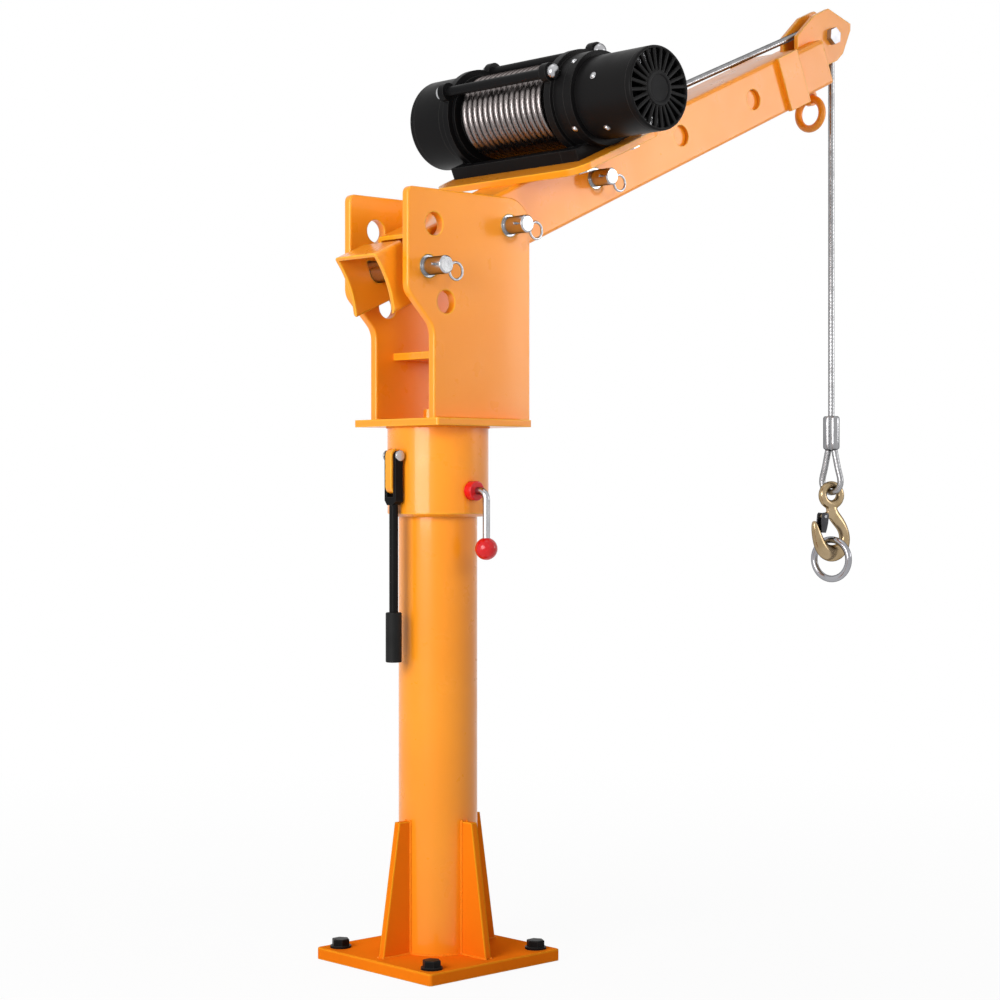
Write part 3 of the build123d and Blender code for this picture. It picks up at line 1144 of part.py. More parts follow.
ring_inner = RING_RADIUS - RING_WIRE / 2
ring_bow = ring_inner - math.sqrt(ring_inner**2 - RING_LUG_THICK**2 / 4)
RING_DROP = RING_HOLE_DIA / 2 - RING_WIRE / 2 - FACE_CLEARANCE - ring_bow
RING_TOP = boom_point(LUG_X, 0, LUG_Z) - Vector(0, 0, RING_DROP)
with BuildPart(Plane(origin=RING_TOP - Vector(0, 0, RING_RADIUS), z_dir=(1, 0, 0))) as tie_ring:
    Torus(RING_RADIUS, RING_WIRE / 2)
tie_ring.part.label = "tie_ring"
export_step(tie_ring.part, "parts/tie_ring.step")

# Hanging rope, the sleeve pressed on its end and the loop below it
FALL_BOTTOM = FALL_TOP - Vector(0, 0, FALL_LENGTH)
FERRULE_BOTTOM = FALL_BOTTOM - Vector(0, 0, FERRULE_LENGTH)
loop_turn = math.radians(LOOP_YAW)
LOOP_WAY = Vector(math.cos(loop_turn), math.sin(loop_turn), 0)
with BuildPart() as rope_fall:
    with BuildSketch(Plane(origin=FALL_TOP, z_dir=(0, 0, -1))):
        Circle(ROPE_DIA / 2)
    extrude(amount=FALL_LENGTH)
rope_fall.part.label = "rope_fall"
export_step(rope_fall.part, "parts/rope_fall.step")

with BuildPart() as rope_ferrule:
    with BuildSketch(Plane(origin=FERRULE_BOTTOM, x_dir=LOOP_WAY, z_dir=(0, 0, 1))):
        SlotOverall(FERRULE_WIDTH, FERRULE_DEPTH)
    extrude(amount=FERRULE_LENGTH)
    ferrule_edges = rope_ferrule.edges().group_by(Axis.Z)
    fillet(ferrule_edges[-1] + ferrule_edges[0], FERRULE_ROUND)
rope_ferrule.part.label = "rope_ferrule"
export_step(rope_ferrule.part, "parts/rope_ferrule.step")

LOOP_PLANE = Plane(origin=FERRULE_BOTTOM, x_dir=LOOP_WAY, z_dir=LOOP_WAY.cross(Vector(0, 0, 1)))
loop_middle = -(EYE_LENGTH - EYE_RADIUS)
leg = EYE_LEG_SPREAD / 2
tangent_angle = math.atan2(-loop_middle, leg) - math.acos(EYE_RADIUS / math.hypot(leg, loop_middle))
tangent_x = EYE_RADIUS * math.cos(tangent_angle)
tangent_z = loop_middle + EYE_RADIUS * math.sin(tangent_angle)
with BuildPart() as rope_eye:
    with BuildLine(LOOP_PLANE) as eye_route:
        Line((leg, 0), (tangent_x, tangent_z))
        ThreePointArc((tangent_x, tangent_z), (0, loop_middle - EYE_RADIUS), (-tangent_x, tangent_z))
        Line((-tangent_x, tangent_z), (-leg, 0))
    leg_way = LOOP_WAY * (tangent_x - leg) + Vector(0, 0, tangent_z)
    with BuildSketch(Plane(origin=FERRULE_BOTTOM + LOOP_WAY * leg, z_dir=leg_way)):
        Circle(ROPE_DIA / 2)
    sweep(path=eye_route.wire())
    with BuildSketch(Plane(origin=FERRULE_BOTTOM, z_dir=(0, 0, 1))):
        Circle(FERRULE_WIDTH)
    extrude(amount=ROPE_DIA, mode=Mode.SUBTRACT)
rope_eye.part.label = "rope_eye"
export_step(rope_eye.part, "parts/rope_eye.step")

# Hook: an eye on a forged bowl, thickest at the bottom
hook_turn = math.radians(HOOK_YAW)
HOOK_WAY = Vector(math.cos(hook_turn), math.sin(hook_turn), 0)
ROPE_SEAT = FERRULE_BOTTOM - Vector(0, 0, EYE_LENGTH - ROPE_DIA / 2)
HOOK_EYE = ROPE_SEAT + Vector(0, 0, HOOK_EYE_LIFT + HOOK_EYE_BAR / 2 - HOOK_EYE_RADIUS)
HOOK_PLANE = Plane(origin=HOOK_EYE, x_dir=HOOK_WAY, z_dir=HOOK_WAY.cross(Vector(0, 0, 1)))
bowl_z = HOOK_BOWL_OUTER - HOOK_DEPTH
inner_z = bowl_z - HOOK_BOWL_OUTER + HOOK_BOWL_THICK + HOOK_BOWL_INNER
LATCH_POINT = (-LATCH_SIDE, -LATCH_BELOW_EYE)
with BuildPart(HOOK_PLANE) as hook_body:
    with BuildSketch(HOOK_PLANE):
        with BuildLine():
            neck_top = -HOOK_EYE_RADIUS
            Line((-HOOK_NECK_HALF, neck_top), (HOOK_NECK_HALF, neck_top))
            ThreePointArc(
                (HOOK_NECK_HALF, neck_top),
                (HOOK_BACK_OUT, bowl_z + HOOK_BACK_RISE),
                (HOOK_BOWL_OUTER, bowl_z),
            )
            ThreePointArc(
                (HOOK_BOWL_OUTER, bowl_z), (0, bowl_z - HOOK_BOWL_OUTER), (-HOOK_BOWL_OUTER, bowl_z)
            )
            Polyline(
                (-HOOK_BOWL_OUTER, bowl_z),
                (-HOOK_BOWL_OUTER - HOOK_TIP_LEAN, -HOOK_TIP_HEIGHT - HOOK_TIP_BEVEL),
                (-HOOK_BOWL_OUTER + HOOK_TIP_WIDTH, -HOOK_TIP_HEIGHT),
                (-HOOK_BOWL_INNER, inner_z),
            )
            ThreePointArc(
                (-HOOK_BOWL_INNER, inner_z), (0, inner_z - HOOK_BOWL_INNER), (HOOK_BOWL_INNER, inner_z)
            )
            ThreePointArc(
                (HOOK_BOWL_INNER, inner_z),
                (HOOK_THROAT_OUT, inner_z + HOOK_THROAT_RISE),
                (-HOOK_NECK_HALF, neck_top - HOOK_NECK_DROP),
            )
            Line((-HOOK_NECK_HALF, neck_top - HOOK_NECK_DROP), (-HOOK_NECK_HALF, neck_top))
        make_face()
    extrude(amount=HOOK_THICK / 2, both=True)
    hook_normal = Axis((0, 0, 0), HOOK_PLANE.z_dir)
    chamfer(hook_body.faces().sort_by(hook_normal)[0].edges(), HOOK_ROUND)
    chamfer(hook_body.faces().sort_by(hook_normal)[-1].edges(), HOOK_ROUND)
    with BuildSketch(HOOK_PLANE):
        with Locations(LATCH_POINT):
            Circle(LATCH_BOSS_RADIUS)
        with Locations((-LATCH_SIDE / 2, -LATCH_BELOW_EYE)):
            Rectangle(LATCH_SIDE, 2 * LATCH_BOSS_RADIUS)
    extrude(amount=LATCH_HALF_THICK - LATCH_WALL - FACE_CLEARANCE, both=True)
    Torus(HOOK_EYE_RADIUS, HOOK_EYE_BAR / 2)
    with BuildSketch(HOOK_PLANE):
        with Locations(LATCH_POINT):
            Circle(LATCH_PIN_DIA / 2)
    extrude(amount=HOOK_THICK, both=True, mode=Mode.SUBTRACT)
hook_body.part.label = "hook_body"
export_step(hook_body.part, "parts/hook_body.step")

with BuildPart() as latch_pin:
    with BuildSketch(HOOK_PLANE):
        with Locations(LATCH_POINT):
            Circle(LATCH_PIN_DIA / 2)
    extrude(amount=LATCH_HALF_THICK + LATCH_PIN_STAND_OUT, both=True)
latch_pin.part.label = "latch_pin"
export_step(latch_pin.part, "parts/latch_pin.step")

# Latch: a folded plate on its pin that closes the hook's mouth
latch_lean = math.radians(LATCH_LEAN)
LATCH_END = (
    LATCH_POINT[0] - LATCH_LENGTH * math.sin(latch_lean),
    LATCH_POINT[1] - LATCH_LENGTH * math.cos(latch_lean),
)
LATCH_MIDDLE = ((LATCH_POINT[0] + LATCH_END[0]) / 2, (LATCH_POINT[1] + LATCH_END[1]) / 2)
with BuildPart() as hook_latch:
    with BuildSketch(HOOK_PLANE):
        with Locations(LATCH_POINT, LATCH_END):
            Circle(LATCH_WIDTH / 2)
        with Locations(Location(LATCH_MIDDLE, -LATCH_LEAN)):
            Rectangle(LATCH_WIDTH, LATCH_LENGTH)
        with Locations(LATCH_POINT):
            Circle(LATCH_PIN_DIA / 2 + RUN_CLEARANCE, mode=Mode.SUBTRACT)
    extrude(amount=LATCH_HALF_THICK, both=True)
    with BuildSketch(HOOK_PLANE):
        with Locations(LATCH_POINT):
            Circle(LATCH_BOSS_RADIUS + LATCH_WIDTH)
    extrude(amount=LATCH_HALF_THICK - LATCH_WALL, both=True, mode=Mode.SUBTRACT)
hook_latch.part.label = "hook_latch"
export_step(hook_latch.part, "parts/hook_latch.step")

# Ring in the hook's bowl
RING_SEAT = HOOK_EYE + Vector(0, 0, inner_z - HOOK_BOWL_INNER + LOAD_RING_LIFT + LOAD_RING_WIRE / 2)
LOAD_RING_PLANE = Plane(
    origin=RING_SEAT - Vector(0, 0, LOAD_RING_RADIUS), x_dir=LOOP_WAY, z_dir=LOOP_WAY.cross(Vector(0, 0, 1))
)
with BuildPart(LOAD_RING_PLANE) as load_ring:
    Torus(LOAD_RING_RADIUS, LOAD_RING_WIRE / 2)
load_ring.part.label = "load_ring"
export_step(load_ring.part, "parts/load_ring.step")
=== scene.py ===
"""Looks of a pickup truck crane: finishes, wire rope, forged hook, small hardware, camera and light.

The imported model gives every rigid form. This script dresses it and adds the pieces that solids can't show.
Metres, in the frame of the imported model: the origin is the middle of the foot plate's underside, +Z is up
and the boom points along +X.
"""

import json
import logging
import math
from dataclasses import dataclass, field
from enum import Enum

import bmesh
import bpy
from mathutils import Matrix, Vector

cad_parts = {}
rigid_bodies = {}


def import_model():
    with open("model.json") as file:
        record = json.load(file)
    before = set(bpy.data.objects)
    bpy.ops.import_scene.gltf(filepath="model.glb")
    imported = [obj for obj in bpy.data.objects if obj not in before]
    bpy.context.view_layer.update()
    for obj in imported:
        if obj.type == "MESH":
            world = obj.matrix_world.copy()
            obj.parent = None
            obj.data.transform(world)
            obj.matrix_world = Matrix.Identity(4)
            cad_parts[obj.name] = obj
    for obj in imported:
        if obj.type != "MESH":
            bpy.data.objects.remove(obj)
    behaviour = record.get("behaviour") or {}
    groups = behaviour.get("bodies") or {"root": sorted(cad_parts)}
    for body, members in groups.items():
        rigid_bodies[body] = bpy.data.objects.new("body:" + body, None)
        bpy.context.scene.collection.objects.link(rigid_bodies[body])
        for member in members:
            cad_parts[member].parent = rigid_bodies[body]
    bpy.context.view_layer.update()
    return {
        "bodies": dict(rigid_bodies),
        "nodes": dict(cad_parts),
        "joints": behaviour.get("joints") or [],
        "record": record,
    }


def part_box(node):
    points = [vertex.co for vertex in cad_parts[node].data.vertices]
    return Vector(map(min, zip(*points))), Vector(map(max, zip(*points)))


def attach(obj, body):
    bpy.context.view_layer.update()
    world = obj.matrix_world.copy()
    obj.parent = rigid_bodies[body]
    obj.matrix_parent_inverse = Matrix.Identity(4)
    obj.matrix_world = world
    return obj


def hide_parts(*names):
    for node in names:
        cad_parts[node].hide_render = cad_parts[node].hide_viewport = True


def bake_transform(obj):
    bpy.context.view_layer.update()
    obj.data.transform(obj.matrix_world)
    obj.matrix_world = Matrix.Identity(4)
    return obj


log = logging.getLogger("crane")
MM = 0.001
WHITE = (1.0, 1.0, 1.0, 1.0)
NOISE_SPAN = (0.3, 0.7)
CLOUD_SPAN = (0.35, 0.7)
# At a scale of 1 the wave texture goes through this many radians in each unit
WAVE_RADIANS = 20.0
Colour = tuple[float, float, float]
Section = tuple[float, float, float, float]
Profile = tuple[tuple[float, float], ...]
Ring = list[bmesh.types.BMVert]


class FinishName(Enum):
    """The finishes of the crane, each with the name of its slot in the record."""

    ORANGE_PAINT = "orange_paint"
    BLACK_PAINT = "black_paint"
    BRIGHT_STEEL = "bright_steel"
    WIRE_ROPE = "wire_rope"
    PRESSED_ALUMINIUM = "pressed_aluminium"
    CHROME = "chrome"
    GOLD_PLATE = "gold_plate"
    GREY_STEEL = "grey_steel"
    RED_PLASTIC = "red_plastic"
    BLACK_RUBBER = "black_rubber"
    NYLON = "nylon"
    FOOT_PAINT_SHADED = "foot_paint_shaded"
    WELD_PAINT = "weld_paint"
    ZINC = "zinc"

    @property
    def slot(self) -> str:
        """Slot in the record; some finishes are a slot's finish on another surface, and the foot's is the
        orange paint made darker and redder as painted shade.
        """
        shared = {"foot_paint_shaded": "orange_paint", "weld_paint": "orange_paint", "zinc": "bright_steel"}
        return shared.get(self.value, self.value)


class Tree:
    """Adds nodes to a node tree."""

    def __init__(self, tree: bpy.types.NodeTree) -> None:
        """Empty a tree and keep it.

        Args:
            tree: tree of a material, of the world or of a modifier.
        """
        self.tree = tree
        self.tree.nodes.clear()

    def feed(self, node: bpy.types.Node, inputs: dict) -> None:
        """Link or set inputs of a node.

        Args:
            node: the node.
            inputs: a socket or a value for each input, by its name or number.
        """
        for key, value in inputs.items():
            if isinstance(value, bpy.types.NodeSocket):
                self.tree.links.new(value, node.inputs[key])
            else:
                node.inputs[key].default_value = value

    def node(self, kind: str, inputs: dict | None = None, **settings: object) -> bpy.types.Node:
        """Add a node.

        Args:
            kind: kind of node.
            inputs: a socket or a value for each input, by its name or number.
            settings: its other settings by name.

        Returns:
            The node.
        """
        made = self.tree.nodes.new(kind)
        for name, value in settings.items():
            setattr(made, name, value)
        self.feed(made, inputs or {})
        return made


class Graph(Tree):
    """Builds the node tree of one material round a Principled shader."""

    def __init__(self, name: str) -> None:
        """Start an empty material.

        Args:
            name: name of the material.
        """
        self.material = bpy.data.materials.new(name)
        self.material.use_nodes = True
        super().__init__(self.material.node_tree)
        self.shader = self.node("ShaderNodeBsdfPrincipled")
        self.output = self.node("ShaderNodeOutputMaterial", {"Surface": self.shader.outputs["BSDF"]})

    def place(self, stretch: tuple[float, float, float] = (1.0, 1.0, 1.0)) -> bpy.types.NodeSocket:
        """Object coordinates, stretched along each axis.

        Args:
            stretch: factor along X, Y and Z.

        Returns:
            The vector socket.
        """
        spot = self.node("ShaderNodeTexCoord").outputs["Object"]
        return self.node("ShaderNodeMapping", {"Vector": spot, "Scale": stretch}).outputs["Vector"]

    def noise(self, place: bpy.types.NodeSocket, scale: float, detail: float = 3.0) -> bpy.types.NodeSocket:
        """Noise over a place.

        Args:
            place: vector socket.
            scale: number of features in a metre.
            detail: number of finer layers.

        Returns:
            The value socket, about 0.5 on average.
        """
        inputs = {"Vector": place, "Scale": scale, "Detail": detail}
        return self.node("ShaderNodeTexNoise", inputs).outputs["Fac"]

    def spread(
        self, value: bpy.types.NodeSocket, start: float, end: float, low: float = 0.0, high: float = 1.0
    ) -> bpy.types.NodeSocket:
        """Map a range of a value onto another range, held at its ends.

        Args:
            value: value socket.
            start: value that becomes low.
            end: value that becomes high.
            low: result at start.
            high: result at end.

        Returns:
            The mapped value socket.
        """
        inputs = {"Value": value, "From Min": start, "From Max": end, "To Min": low, "To Max": high}
        return self.node("ShaderNodeMapRange", inputs).outputs["Result"]

    def blend(
        self, share: bpy.types.NodeSocket, first: Colour | bpy.types.NodeSocket, second: Colour
    ) -> bpy.types.NodeSocket:
        """Mix two colours.

        Args:
            share: how much of the second colour.
            first: a colour, or a socket with one.
            second: a colour.

        Returns:
            The colour socket.
        """
        if not isinstance(first, bpy.types.NodeSocket):
            first = (*first, 1.0)
        inputs = {0: share, 6: first, 7: (*second, 1.0)}
        return self.node("ShaderNodeMix", inputs, data_type="RGBA").outputs[2]

    def edges(
        self, radius: float, start: float = 0.998, end: float = 0.9
    ) -> tuple[bpy.types.NodeSocket, bpy.types.NodeSocket]:
        """Find the edges, which paint lightens as a painted highlight, and round them off in the shading.

        Args:
            radius: how far an edge reaches, in metres.
            start: likeness of the normals at which an edge begins.
            end: likeness at which it is full.

        Returns:
            The share of edge, for the painted highlight, and the rounded normal.
        """
        rounded = self.node("ShaderNodeBevel", {"Radius": radius}, samples=6).outputs["Normal"]
        flat = self.node("ShaderNodeNewGeometry").outputs["Normal"]
        likeness = self.node("ShaderNodeVectorMath", {0: rounded, 1: flat}, operation="DOT_PRODUCT")
        return self.spread(likeness.outputs["Value"], start, end), rounded

    def bump(
        self, height: bpy.types.NodeSocket, distance: float, normal: bpy.types.NodeSocket | None = None
    ) -> bpy.types.NodeSocket:
        """Relief from a height.

        Args:
            height: value socket.
            distance: depth of the relief, in metres.
            normal: normal that the relief starts from.

        Returns:
            The normal socket.
        """
        relief = self.node("ShaderNodeBump", {"Height": height, "Distance": distance})
        if normal is not None:
            self.feed(relief, {"Normal": normal})
        return relief.outputs["Normal"]

    def surface(self, **inputs: object) -> None:
        """Link or set inputs of the shader, named with _ for a space."""
        self.feed(self.shader, {name.replace("_", " "): value for name, value in inputs.items()})


@dataclass(frozen=True)
class PaintFinish:
    """Sprayed paint with a clear gloss, and a lighter colour along its edges as a painted highlight."""

    name: str
    tint: Colour
    deep: Colour
    # Lighter colour along the edges: a painted highlight
    edge: Colour
    edge_radius: float = 0.003
    roughness: tuple[float, float] = (0.26, 0.36)
    specular: float = 0.3
    coat: float = 0.3
    coat_roughness: float = 0.08
    peel_scale: float = 420.0
    peel_depth: float = 0.00006
    cloud_scale: float = 5.0
    sheen_scale: float = 40.0

    def build(self) -> bpy.types.Material:
        """Make the material.

        Returns:
            The material.
        """
        graph = Graph(self.name)
        place = graph.place()
        cloud = graph.spread(graph.noise(place, self.cloud_scale), *CLOUD_SPAN)
        body = graph.blend(cloud, self.tint, self.deep)
        highlight_share, rounded = graph.edges(self.edge_radius)
        # Painted highlight: the edges take the lighter edge colour
        colour = graph.blend(highlight_share, body, self.edge)
        sheen = graph.spread(graph.noise(place, self.sheen_scale, 5.0), *NOISE_SPAN, *self.roughness)
        relief = graph.bump(graph.noise(place, self.peel_scale, 2.0), self.peel_depth, rounded)
        graph.surface(
            Base_Color=colour, Roughness=sheen, Normal=relief, Specular_IOR_Level=self.specular,
            Coat_Weight=self.coat, Coat_Roughness=self.coat_roughness,
        )
        return graph.material


@dataclass(frozen=True)
class MetalFinish:
    """Bare or plated metal with fine tool marks."""

    name: str
    tint: Colour
    dull: Colour
    roughness: tuple[float, float]
    marks: tuple[float, float, float] = (1.0, 1.0, 1.0)
    mark_scale: float = 300.0
    mark_depth: float = 0.000006
    edge_radius: float = 0.0008
    rim: float = 0.3
    stain_scale: float = 45.0
    stain_span: tuple[float, float] = (0.4, 0.72)

    def build(self) -> bpy.types.Material:
        """Make the material.

        Returns:
            The material.
        """
        graph = Graph(self.name)
        place = graph.place()
        stain = graph.spread(graph.noise(place, self.stain_scale, 2.0), *self.stain_span)
        colour = graph.blend(stain, self.tint, self.dull)
        marks = graph.noise(graph.place(self.marks), self.mark_scale, 4.0)
        gloss = graph.spread(marks, *NOISE_SPAN, *self.roughness)
        rounded = graph.edges(self.edge_radius)[1]
        relief = graph.bump(marks, self.mark_depth, rounded)
        graph.surface(
            Base_Color=colour, Roughness=gloss, Normal=relief, Metallic=1.0,
            Specular_Tint=(self.rim, self.rim, self.rim, 1.0),
        )
        return graph.material


@dataclass(frozen=True)
class RopeFinish:
    """Drawn steel wires laid in strands, dark in the grooves, and darker where the rope is wound on the drum
    as painted shade.
    """

    name: str
    tint: Colour
    groove: Colour
    # Colour of the rope wound on the drum: painted shade
    drum_shaded: Colour
    wires: int = 24
    wire_depth: float = 0.00003
    grime_scale: float = 90.0
    grime_span: tuple[float, float] = (0.4, 0.75)
    grime_share: float = 0.3
    groove_start: float = 0.5
    groove_share: float = 0.5
    roughness: tuple[float, float] = (0.2, 0.34)
    rim: float = 0.08

    def build(self) -> bpy.types.Material:
        """Make the material.

        Returns:
            The material.
        """
        graph = Graph(self.name)
        groove = graph.node("ShaderNodeAttribute", attribute_name=WireRope.GROOVE).outputs["Fac"]
        drum_shade = graph.node("ShaderNodeAttribute", attribute_name=WireRope.DRUM_SHADE).outputs["Fac"]
        grime = graph.noise(graph.place(), self.grime_scale, 2.0)
        dirt = graph.spread(grime, *self.grime_span, 0.0, self.grime_share)
        colour = graph.blend(dirt, self.tint, self.groove)
        # Painted shade: the rope on the drum takes the darker colour
        colour = graph.blend(graph.spread(drum_shade, 0.0, 1.0), colour, self.drum_shaded)
        depth = graph.spread(groove, self.groove_start, 1.0, 0.0, self.groove_share)
        colour = graph.blend(depth, colour, self.groove)
        lay = graph.node("ShaderNodeUVMap", uv_map=WireRope.LAY).outputs["UV"]
        bands = {"Vector": lay, "Scale": self.wires * 2 * math.pi / WAVE_RADIANS, "Distortion": 0.0}
        wires = graph.node("ShaderNodeTexWave", bands, bands_direction="X").outputs["Fac"]
        graph.surface(
            Base_Color=colour, Roughness=graph.spread(grime, *NOISE_SPAN, *self.roughness),
            Normal=graph.bump(wires, self.wire_depth), Metallic=1.0,
            Specular_Tint=(self.rim, self.rim, self.rim, 1.0),
        )
        return graph.material


@dataclass(frozen=True)
class PlasticFinish:
    """Moulded plastic or rubber."""

    name: str
    tint: Colour
    deep: Colour
    roughness: tuple[float, float]
    coat: float
    grain_scale: float
    grain_depth: float
    specular: float = 0.5
    cloud_scale: float = 45.0
    coat_roughness: float = 0.06

    def build(self) -> bpy.types.Material:
        """Make the material.

        Returns:
            The material.
        """
        graph = Graph(self.name)
        place = graph.place()
        cloud = graph.spread(graph.noise(place, self.cloud_scale), *CLOUD_SPAN)
        grain = graph.noise(place, self.grain_scale)
        graph.surface(
            Base_Color=graph.blend(cloud, self.tint, self.deep),
            Roughness=graph.spread(grain, *NOISE_SPAN, *self.roughness),
            Normal=graph.bump(grain, self.grain_depth), Specular_IOR_Level=self.specular,
            Coat_Weight=self.coat, Coat_Roughness=self.coat_roughness,
        )
        return graph.material


# The third colour of each paint is the painted highlight along its edges
FINISHES = {
    FinishName.ORANGE_PAINT: PaintFinish(
        "orange_paint", (0.95, 0.315, 0.012), (0.9, 0.275, 0.008), (1.0, 0.5, 0.02)
    ),
    # Darker, redder copy of the orange paint for the foot plate and gussets: painted shade
    FinishName.FOOT_PAINT_SHADED: PaintFinish(
        "foot_paint_shaded", (0.9, 0.22, 0.008), (0.82, 0.18, 0.006), (1.0, 0.42, 0.02),
        roughness=(0.4, 0.55), specular=0.0, coat=0.0,
    ),
    FinishName.WELD_PAINT: PaintFinish(
        "weld_paint", (0.92, 0.26, 0.01), (0.86, 0.22, 0.007), (0.92, 0.26, 0.01), edge_radius=0.0004,
        roughness=(0.4, 0.55), specular=0.1, coat=0.0,
    ),
    FinishName.BLACK_PAINT: PaintFinish(
        "black_paint", (0.005, 0.005, 0.0055), (0.009, 0.0085, 0.0085), (0.03, 0.029, 0.028),
        edge_radius=0.001, roughness=(0.34, 0.46), specular=0.06, coat=0.0,
        peel_scale=700.0,
    ),
    FinishName.BRIGHT_STEEL: MetalFinish(
        "bright_steel", (0.5, 0.5, 0.51), (0.4, 0.4, 0.42), (0.16, 0.26), (1.0, 9.0, 1.0), rim=0.08
    ),
    FinishName.ZINC: MetalFinish(
        "zinc", (0.42, 0.42, 0.44), (0.33, 0.33, 0.35), (0.34, 0.46), mark_depth=0.00002
    ),
    FinishName.WIRE_ROPE: RopeFinish(
        "wire_rope", (0.4, 0.4, 0.41), (0.07, 0.067, 0.065), (0.23, 0.205, 0.2)
    ),
    FinishName.PRESSED_ALUMINIUM: MetalFinish(
        "pressed_aluminium", (0.34, 0.34, 0.35), (0.26, 0.26, 0.27), (0.14, 0.22), (6.0, 6.0, 1.0), rim=0.05
    ),
    FinishName.CHROME: MetalFinish("chrome", (0.38, 0.38, 0.4), (0.3, 0.3, 0.32), (0.08, 0.14), rim=0.05),
    FinishName.GOLD_PLATE: MetalFinish(
        "gold_plate", (0.44, 0.33, 0.2), (0.32, 0.23, 0.12), (0.16, 0.26), mark_scale=220.0,
        mark_depth=0.00003, rim=0.1,
    ),
    FinishName.GREY_STEEL: MetalFinish(
        "grey_steel", (0.07, 0.07, 0.075), (0.045, 0.045, 0.05), (0.28, 0.4)
    ),
    FinishName.RED_PLASTIC: PlasticFinish(
        "red_plastic", (0.68, 0.005, 0.009), (0.58, 0.004, 0.007), (0.16, 0.24), 0.2, 400.0, 0.00001, 0.3
    ),
    FinishName.BLACK_RUBBER: PlasticFinish(
        "black_rubber", (0.006, 0.006, 0.006), (0.01, 0.01, 0.01), (0.5, 0.66), 0.0, 900.0, 0.00006, 0.15
    ),
    FinishName.NYLON: PlasticFinish(
        "nylon", (0.75, 0.73, 0.67), (0.68, 0.66, 0.6), (0.4, 0.55), 0.0, 500.0, 0.00002
    ),
}


class FinishRack:
    """Makes each finish once and puts it on pieces."""

    # The foot plate and gussets wear the darker orange paint, as painted shade
    OWN = {
        "base_plate": FinishName.FOOT_PAINT_SHADED, "column_gussets": FinishName.FOOT_PAINT_SHADED,
        "sheave_axle": FinishName.ZINC,
    }

    def __init__(self) -> None:
        """Build every material."""
        self.materials = {name: finish.build() for name, finish in FINISHES.items()}

    def piece(self, name: str, mesh: bpy.types.Mesh, finish: FinishName) -> bpy.types.Object:
        """Put a mesh in the scene as a new piece with its finish, and name its slot in the record.

        Args:
            name: name of the piece.
            mesh: its mesh, already in place.
            finish: the finish.

        Returns:
            The piece.
        """
        made = new_piece(name, mesh)
        mesh.materials.clear()
        mesh.materials.append(self.materials[finish])
        log.info("made %s of %d faces in %s", name, len(mesh.polygons), finish.value)
        return made

    def dress(self, frame: dict) -> None:
        """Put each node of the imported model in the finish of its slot.
        """
        slots = {row["node"]: row["material_slot"] for row in frame["record"]["subparts"]}
        for node, piece in frame["nodes"].items():
            finish = self.OWN.get(node, FinishName(slots[node]))
            for place in piece.material_slots:
                place.material = self.materials[finish]
            log.info("dressed %s in %s", node, finish.value)


def new_piece(name: str, data: bpy.types.ID) -> bpy.types.Object:
    """Put a mesh, curve, lamp or camera in the scene as an object at the origin.

    Args:
        name: name of the object.
        data: what it shows; a mesh is already in place.

    Returns:
        The object.
    """
    piece = bpy.data.objects.new(name, data)
    bpy.context.scene.collection.objects.link(piece)
    return piece


def to_mesh(shape: bmesh.types.BMesh, name: str) -> bpy.types.Mesh:
    """Turn a shape into a mesh and free it.

    Args:
        shape: the shape.
        name: name of the mesh.

    Returns:
        The mesh.
    """
    mesh = bpy.data.meshes.new(name)
    shape.to_mesh(mesh)
    shape.free()
    return mesh


def join_rings(shape: bmesh.types.BMesh, rings: list[Ring], closed: bool) -> None:
    """Join rings of corners with faces that point outwards, and close the ends of an open row.

    Args:
        shape: the shape that holds the corners.
        rings: rings with as many corners each, or one corner at a pole.
        closed: whether the last ring joins the first.
    """
    pairs = list(zip(rings, rings[1:]))
    if closed:
        pairs.append((rings[-1], rings[0]))
    for end in (rings[0], rings[-1]):
        if not closed and len(end) > 1:
            shape.faces.new(end)
    count = max(len(ring) for ring in rings)
    for lower, upper in pairs:
        for index in range(count):
            beside = (index + 1) % count
            corners = [lower[index % len(lower)], lower[beside % len(lower)]]
            corners += [upper[beside % len(upper)], upper[index % len(upper)]]
            shape.faces.new(list(dict.fromkeys(corners)))
    bmesh.ops.recalc_face_normals(shape, faces=shape.faces)


@dataclass
class BoomFrame:
    """The boom's own directions: along it, across it and up from its top."""

    pivot: Vector = field(default_factory=lambda: Vector((0.06, 0.0, 0.83)))
    angle: float = math.radians(24.0)
    winch: tuple[float, float, float] = (140.0, 0.0, 99.0)
    sheave: tuple[float, float, float] = (701.8, 0.0, 25.0)

    @property
    def along(self) -> Vector:
        """Direction from the pivot to the nose."""
        return Vector((math.cos(self.angle), 0.0, math.sin(self.angle)))

    @property
    def up(self) -> Vector:
        """Direction square to the boom's top."""
        return Vector((-math.sin(self.angle), 0.0, math.cos(self.angle)))

    def point(self, along: float, across: float, up: float) -> Vector:
        """A point in the boom's directions.

        Args:
            along: millimetres along the boom from its pivot.
            across: millimetres across it, towards +Y.
            up: millimetres up from its axis.

        Returns:
            The point in metres.
        """
        across_way = Vector((0.0, 1.0, 0.0))
        return self.pivot + (self.along * along + across_way * across + self.up * up) * MM


